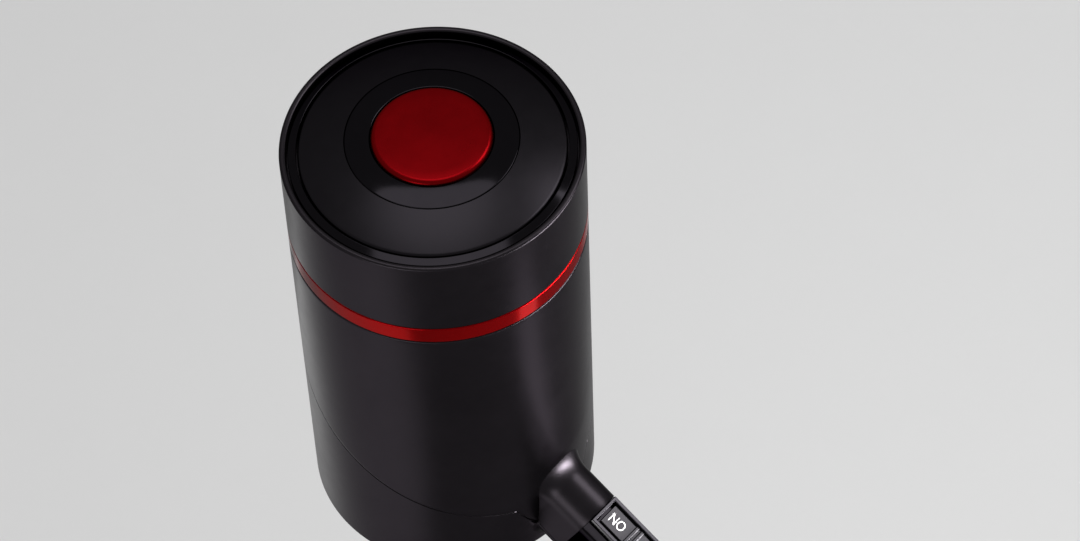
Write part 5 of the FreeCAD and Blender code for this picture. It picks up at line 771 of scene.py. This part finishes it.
def wall_normals(sizes, piece):
    """Sets the corner normals of a piece's outer wall square to the head: n = dP/dt x dP/dz."""
    graph = bpy.context.evaluated_depsgraph_get()
    mesh = bpy.data.meshes.new_from_object(piece.evaluated_get(graph))
    piece.modifiers.clear()
    piece.data = mesh
    spots = read_vectors(mesh.vertices, "co")
    turn, level = np.arctan2(spots[:, 0], -spots[:, 1]), spots[:, 2]
    reach = np.hypot(spots[:, 0], spots[:, 1])
    on_wall = np.abs(reach - sizes.head_radius - swell(sizes, turn, level)) < WALL_NEAR
    around = head_points(sizes, turn + SMALL_TURN, level) - head_points(sizes, turn - SMALL_TURN, level)
    upward = head_points(sizes, turn, level + SMALL_RISE) - head_points(sizes, turn, level - SMALL_RISE)
    square = np.cross(around, upward)
    square /= np.linalg.norm(square, axis=1)[:, None]
    # Only upright faces that lie wholly on the wall take its normals
    corners = np.empty(len(mesh.loops), np.int32)
    mesh.loops.foreach_get("vertex_index", corners)
    counts = np.empty(len(mesh.polygons), np.int32)
    mesh.polygons.foreach_get("loop_total", counts)
    starts = np.cumsum(counts) - counts
    whole = np.add.reduceat(on_wall[corners].astype(int), starts) == counts
    upright = np.abs(read_vectors(mesh.polygons, "normal")[:, 2]) < WALL_LEAN
    chosen = np.repeat(whole & upright, counts)
    normals = read_vectors(mesh.corner_normals, "vector")
    normals[chosen] = square[corners[chosen]]
    mesh.normals_split_custom_set(normals.tolist())


def read_vectors(items, key):
    """One vector per item, as an array."""
    flat = np.empty(len(items) * 3)
    items.foreach_get(key, flat)
    return flat.reshape(-1, 3)


def node_bodies():
    """The moving body of each node in the record."""
    bodies = frame["record"]["behaviour"]["bodies"]
    return {node: body for body, nodes in bodies.items() for node in nodes}


class Millimetres:
    """The sizes of the property group in millimetres."""

    def __init__(self, group):
        self.group = group

    def __getattr__(self, name):
        return getattr(self.group, name) / MM


class TurnedOperator(DispenserOperator):
    """What the operators of turned pieces share."""

    def turned(self, node, *runs, at=(0.0, 0.0), crease=TURNED_CREASE, look=None):
        """Turns a profile of corner lists and paths in millimetres, and gives it its node's finish."""
        slot = node_slots()[node]
        profile = np.concatenate([run if isinstance(run, np.ndarray) else rounded(run, PROFILE_STEPS)
                                  for run in runs])
        keep = np.ones(len(profile), bool)
        keep[1:] = np.linalg.norm(np.diff(profile, axis=0), axis=1) > SAME_PLACE
        profile = profile[keep]
        if np.linalg.norm(profile[0] - profile[-1]) < SAME_PLACE:
            profile = profile[:-1]
        return lathe(f"{node}_turned", profile * MM, node_bodies()[node], FINISHES[look or slot], [node],
                     at, crease)


class DISPENSER_OT_head_rings(TurnedOperator, bpy.types.Operator):
    """Upper housing with its rim, the red band and the bevel ring"""

    bl_idname = "dispenser.head_rings"
    bl_label = "Head rings"

    def execute(self, context):
        s = Millimetres(self.sizes)
        outer, inner, rim = s.head_radius, s.band_radius, s.rim_level
        groove = outer - s.rim_width
        shelf, spigot, low = s.shelf_level, s.spigot_low, s.band_top + s.hairline
        under, bore, fit = shelf - s.shelf_thick, inner - s.spigot_wall, inner - s.seat_gap
        start = (rim + low) / 2
        self.turned("upper_housing", [
            (outer, start, 0), (outer, rim, s.rim_round), (groove, rim, s.rim_round),
            (groove, shelf, s.fine_round), (s.shelf_bore, shelf, 0), (s.shelf_bore, under, 0),
            (bore, under, 0), (bore, spigot, 0), (fit, spigot, s.fine_round), (fit, low, 0),
            (outer, low, s.edge_round), (outer, start, 0)])
        start = (s.band_top + s.band_low) / 2
        self.turned("red_band", [
            (outer, start, 0), (outer, s.band_top, s.band_round), (inner, s.band_top, 0),
            (inner, s.band_low, 0), (outer, s.band_low, s.band_round), (outer, start, 0)])
        near, far, edge = s.plate_radius + s.free_gap, groove - s.free_gap, s.plate_edge
        start, foot = (near + far) / 2, shelf + s.seat_gap
        self.turned("rim_bevel_ring", [
            (start, foot, 0), (far, foot, 0), (far, edge - s.bevel_drop, s.hairline),
            (near, edge, s.hairline), (near, foot, 0), (start, foot, 0)], look="gloss_black")
        return {"FINISHED"}


class DISPENSER_OT_button_set(TurnedOperator, bpy.types.Operator):
    """Domed top plate, polished ring and push button"""

    bl_idname = "dispenser.button_set"
    bl_label = "Button and plate"

    def execute(self, context):
        s = Millimetres(self.sizes)
        bore, radius, edge = s.plate_bore, s.plate_radius, s.plate_edge
        shelf, lip = s.shelf_level + s.seat_gap, s.shelf_bore - s.guide_gap
        corner, inset = edge - s.plate_bevel, radius - s.plate_bevel
        self.turned("top_plate",
                    [(bore, s.dome_level, 0), (bore, shelf - s.plate_lip, 0), (lip, shelf - s.plate_lip, 0),
                     (lip, shelf, 0), (radius, shelf, 0)],
                    crowned((radius, corner), (inset, edge), -s.plate_edge_arc, PLATE_EDGE_STEPS),
                    crowned((inset, edge), (bore, s.dome_level), -s.plate_dome_arc, FACE_STEPS),
                    look="plate_black")
        inner, outer, top = s.bezel_bore, s.bezel_radius, s.bezel_level
        low, wide = s.shelf_level - s.bezel_skirt, outer + s.bezel_flange
        ledge, shoulder = low + s.bezel_thick, top - s.bezel_thick
        face, corner = outer - s.bezel_edge, shoulder - s.bezel_edge
        lip, drop = inner + s.bezel_lip, top - s.bezel_lip
        self.turned("button_bezel",
                    [(inner, low, 0), (wide, low, 0), (wide, ledge, 0), (outer, ledge, 0),
                     (outer, corner, 0)],
                    crowned((outer, corner), (face, shoulder), -s.bezel_edge_arc, BEZEL_EDGE_STEPS),
                    crowned((face, shoulder), (lip, top), -s.bezel_face_arc, FACE_STEPS),
                    crowned((lip, top), (inner, drop), -s.bezel_face_arc, BEZEL_EDGE_STEPS))
        radius, top = s.button_radius, s.button_level
        roof, wall = top - s.button_skin, radius - s.button_wall
        flange, wide = low - s.stop_gap, radius + s.button_flange
        under = flange - s.button_flange
        edge, crown = top - s.button_drop, radius - s.button_crown
        self.turned("power_button",
                    [(0, s.button_foot, 0), (s.stem_radius, s.button_foot, 0), (s.stem_radius, roof, 0),
                     (wall, roof, 0), (wall, under, 0), (wide, under, 0), (wide, flange, 0),
                     (radius, flange, 0), (radius, edge, s.button_round), (crown, edge + s.crown_rise, 0)],
                    crowned((crown, edge + s.crown_rise), (0, top), -s.crown_arc, FACE_STEPS))
        return {"FINISHED"}


class DISPENSER_OT_plug(TurnedOperator, bpy.types.Operator):
    """Silicone plug with its flange, seal and ribs"""

    bl_idname = "dispenser.plug"
    bl_label = "Bottle plug"

    def execute(self, context):
        s = Millimetres(self.sizes)
        bore, radius, foot = s.plug_bore, s.plug_radius, -s.plug_length
        soft, fine = s.soft_round, s.fine_round
        corners = [(bore, foot, 0), (radius - s.plug_taper, foot, soft),
                   (radius, foot + s.plug_tip, 2 * soft)]
        for number in reversed(range(PLUG_RIBS)):
            level = -s.seal_length - s.plug_tip - s.plug_pitch * number
            corners += [(radius, level - s.rib_slope, soft), (s.plug_rib, level - s.rib_width, soft),
                        (s.plug_rib, level, 2.5 * fine), (radius, level + fine, 1.5 * fine)]
        corners += [(radius, -s.seal_length - s.seal_slope, 2 * fine),
                    (s.seal_radius, -s.seal_length, 4 * fine), (s.seal_radius, 0, fine),
                    (s.flange_radius, 0, s.flange_round), (s.flange_radius, s.flange_level, 1.5 * fine),
                    (bore, s.flange_level, 0)]
        self.turned("bottle_plug", corners, crease=PLUG_CREASE)
        return {"FINISHED"}


class DISPENSER_OT_tubes(TurnedOperator, bpy.types.Operator):
    """Telescopic dip tube, its bush and the nozzle under the spout"""

    bl_idname = "dispenser.tubes"
    bl_label = "Tubes and nozzle"

    def execute(self, context):
        s = Millimetres(self.sizes)
        soft, fine = s.soft_round, s.fine_round
        for node, radius, low, high in (
                ("dip_tube_upper", s.upper_tube, -s.upper_tube_foot, s.upper_tube_top),
                ("dip_tube_lower", s.lower_tube, -s.lower_tube_foot, -s.lower_tube_top)):
            inner, start = radius - s.tube_wall, (low + high) / 2
            self.turned(node, [(inner, start, 0), (inner, low, fine), (radius, low, fine),
                               (radius, high, fine), (inner, high, fine), (inner, start, 0)])
        guide, seat, radius = s.lower_tube + s.slide_gap, s.upper_tube + s.seat_gap, s.bush_radius
        low, groove = -s.bush_foot, guide + s.groove_deep
        top, shelf = low + s.bush_length, low + s.bush_seat
        self.turned("tube_end_bush", [
            (guide, low, 0), (radius - s.bush_bevel, low, 2 * fine),
            (radius, low + s.bush_bevel_length, soft), (radius, top, 4 * fine), (seat, top, 0),
            (seat, shelf, 0), (guide, shelf, 0), (guide, low + s.groove_high, 0),
            (groove, low + s.groove_high, 0),
            (groove, low + s.groove_low, 0), (guide, low + s.groove_low, 0)])
        bore, radius, low, high = s.nozzle_bore, s.nozzle_radius, -s.nozzle_foot, s.nozzle_top
        self.turned("nozzle_insert", [
            (bore, low, fine), (radius - s.nozzle_bevel, low, 2 * fine),
            (radius, low + s.nozzle_bevel_length, soft), (radius, high - s.nozzle_seat, 0),
            (bore + s.nozzle_bevel, high - s.nozzle_seat, 0), (bore, high - s.nozzle_throat, 0)],
            at=(0.0, -s.nozzle_reach))
        return {"FINISHED"}


class DISPENSER_OT_base(DispenserOperator, bpy.types.Operator):
    """Base shell, its screws, the charge port's cover, the plug's core and the inlet foot"""

    bl_idname = "dispenser.base"
    bl_label = "Base"

    def execute(self, context):
        for node in ("base_screws", "plug_core", "inlet_foot"):
            merged_copy(node)
        for node in ("base_shell", "port_cover"):
            wall_normals(self.sizes, merged_copy(node))
        return {"FINISHED"}


class DISPENSER_OT_spout_end(DispenserOperator, bpy.types.Operator):
    """Spout tip, switch frame, slide switch and its letters"""

    bl_idname = "dispenser.spout_end"
    bl_label = "Spout tip and switch"

    def word(self, name, text, place, span):
        """Letters laid flat on the slider, their tops towards -X and their line running up the spout."""
        sizes = self.sizes
        curve = bpy.data.curves.new(name, "FONT")
        curve.body = text
        curve.align_x, curve.align_y = "CENTER", "CENTER"
        # Any depth will do, since the letters are scaled to the paint's thickness below
        curve.extrude = 0.5
        sign = bpy.data.objects.new(name, curve)
        mesh = bpy.data.meshes.new_from_object(sign)
        bpy.data.objects.remove(sign)
        flat = read_vectors(mesh.vertices, "co")
        low, high = flat.min(0), flat.max(0)
        flat = (flat - (low + high) / 2) / (high - low)
        points = spout_frame(sizes, -flat[:, 1] * sizes.label_height,
                             sizes.slider_top + (flat[:, 2] + PAINT_LIFT) * PAINT_THICK,
                             place - flat[:, 0] * span)
        mesh.vertices.foreach_set("co", points.ravel())
        mesh.update()
        add_piece(name, mesh, "switch_slider", FINISHES["letters"], crease=LETTER_CREASE)

    def execute(self, context):
        sizes = self.sizes
        merged_copy("spout_tip")
        merged_copy("switch_frame", bevel=sizes.edge_bevel)
        merged_copy("aeration_slider", bevel=sizes.edge_bevel)
        self.word("letters_on", "ON", sizes.label_place, sizes.label_length)
        self.word("letters_off", "OFF", sizes.second_place, sizes.second_length)
        return {"FINISHED"}


class DISPENSER_OT_stage(DispenserOperator, bpy.types.Operator):
    """Floor, soft studio lights and the camera"""

    bl_idname = "dispenser.stage"
    bl_label = "Stage"

    def floor(self):
        """A flat floor below the drawn tube: P(u, v) = (u, v, lowest - gap)."""
        half = self.sizes.floor_span / 2
        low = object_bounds()[0].z - self.sizes.floor_gap
        points = np.array([(-half, -half, low), (half, -half, low), (half, half, low), (-half, half, low)])
        mesh = bpy.data.meshes.new("studio_floor")
        mesh.from_pydata(points.tolist(), [], [(0, 1, 2, 3)])
        floor = bpy.data.objects.new("studio_floor", mesh)
        bpy.context.scene.collection.objects.link(floor)
        mesh.materials.append(finish("floor_paint", tuple(self.colours.floor), roughness=0.8,
                                     mottle=0.04, shade=0.985))
        floor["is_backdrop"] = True

    def lamp(self, name, azimuth, elevation, distance, width, height, radiance, spread):
        """A soft box round the object: azimuth 0 is the spout's side, radiance 1 is white.

        A spread below half a turn is a grid before the box, which keeps its light off the floor.
        """
        turn, rise = math.radians(azimuth), math.radians(elevation)
        away = Vector((math.sin(turn) * math.cos(rise), -math.cos(turn) * math.cos(rise), math.sin(rise)))
        light = bpy.data.lights.new(name, "AREA")
        light.shape = "RECTANGLE"
        light.size, light.size_y = width, height
        half = math.radians(spread) / 2
        gathered = 1.0 if spread == HALF_TURN else math.tan(half) / (math.tan(half) - half)
        light.spread = 2 * half
        light.energy = radiance * math.pi * width * height / gathered
        lamp = bpy.data.objects.new(name, light)
        lamp.location = away * distance + Vector((0, 0, LAMP_AIM))
        lamp.rotation_mode = "QUATERNION"
        lamp.rotation_quaternion = (-away).to_track_quat("-Z", "Y")
        lamp.visible_camera = False
        bpy.context.scene.collection.objects.link(lamp)

    def overhead(self):
        """A wide round light straight above, the same all over the floor."""
        light = bpy.data.lights.new("overhead_light", "SUN")
        light.energy = SUN_STRENGTH
        light.angle = math.radians(SUN_WIDTH)
        lamp = bpy.data.objects.new("overhead_light", light)
        lamp.rotation_euler = (0.0, math.radians(SUN_LEAN), math.radians(SUN_TURN))
        bpy.context.scene.collection.objects.link(lamp)

    def camera(self):
        """The camera of the photograph, from the fitted ring of the head."""
        yaw, pitch, roll = (math.radians(part) for part in (CAMERA_TURN, CAMERA_FALL, CAMERA_ROLL))
        ahead = Vector((math.sin(yaw) * math.cos(pitch), math.cos(yaw) * math.cos(pitch), -math.sin(pitch)))
        right = Vector((math.cos(yaw), -math.sin(yaw), 0))
        up = right.cross(ahead)
        right, up = (math.cos(roll) * right + math.sin(roll) * up,
                     math.cos(roll) * up - math.sin(roll) * right)
        turn = Matrix.Rotation(math.radians(OBJECT_TURN), 3, "Z")
        right, up, ahead = turn @ right, turn @ up, turn @ ahead
        spot = turn @ (Vector(CAMERA_PLACE) * MM) + Vector((0, 0, self.sizes.rim_level))
        data = bpy.data.cameras.new("photo_camera")
        data.sensor_width, data.lens = CAMERA_SENSOR, CAMERA_LENS
        data.clip_start, data.clip_end = CAMERA_NEAR, CAMERA_FAR
        camera = bpy.data.objects.new("photo_camera", data)
        axes = Matrix((right, up, -ahead)).transposed()
        camera.matrix_world = Matrix.Translation(spot) @ axes.to_4x4()
        bpy.context.scene.collection.objects.link(camera)
        bpy.context.scene.camera = camera

    def world(self):
        """Even light all round; the camera and mirrored rays see a pale backdrop."""
        world = bpy.data.worlds.new("studio")
        bpy.context.scene.world = world
        graph = Graph(world)
        seen = None
        for output in ("Is Camera Ray", "Is Glossy Ray", "Is Transmission Ray"):
            ray = graph.node("ShaderNodeLightPath", output=output)
            seen = ray if seen is None else graph.maths("MAXIMUM", seen, ray)
        strength = graph.node("ShaderNodeMapRange", None,
                              {"Value": seen, "To Min": WORLD_LIGHT, "To Max": BACKDROP_LIGHT})
        background = graph.node("ShaderNodeBackground", None, {"Strength": strength})
        graph.node("ShaderNodeOutputWorld", None, {"Surface": background})

    def execute(self, context):
        self.floor()
        self.camera()
        self.world()
        self.overhead()
        for name, numbers in LAMPS.items():
            self.lamp(name, *numbers)
        context.scene.view_settings.view_transform = "Standard"
        return {"FINISHED"}


class DISPENSER_PT_panel(bpy.types.Panel):
    """Lists the steps that build the dispenser"""

    bl_label = "Dispenser"
    bl_idname = "DISPENSER_PT_panel"
    bl_space_type = "VIEW_3D"
    bl_region_type = "UI"
    bl_category = "Dispenser"

    def draw(self, context):
        for step in STEPS:
            self.layout.operator(step.bl_idname)


STEPS = (DISPENSER_OT_finishes, DISPENSER_OT_housing, DISPENSER_OT_head_rings, DISPENSER_OT_button_set,
         DISPENSER_OT_plug, DISPENSER_OT_tubes, DISPENSER_OT_base, DISPENSER_OT_spout_end,
         DISPENSER_OT_stage)
CLASSES = (DispenserSizes, DispenserColours, *STEPS, DISPENSER_PT_panel)


def register():
    for item in CLASSES:
        bpy.utils.register_class(item)
    bpy.types.Scene.dispenser_sizes = bpy.props.PointerProperty(type=DispenserSizes)
    bpy.types.Scene.dispenser_colours = bpy.props.PointerProperty(type=DispenserColours)


def unregister():
    del bpy.types.Scene.dispenser_colours
    del bpy.types.Scene.dispenser_sizes
    for item in reversed(CLASSES):
        bpy.utils.unregister_class(item)


def main():
    register()
    for step in STEPS:
        group, name = step.bl_idname.split(".")
        getattr(getattr(bpy.ops, group), name)()


if __name__ == "__main__":
    main()
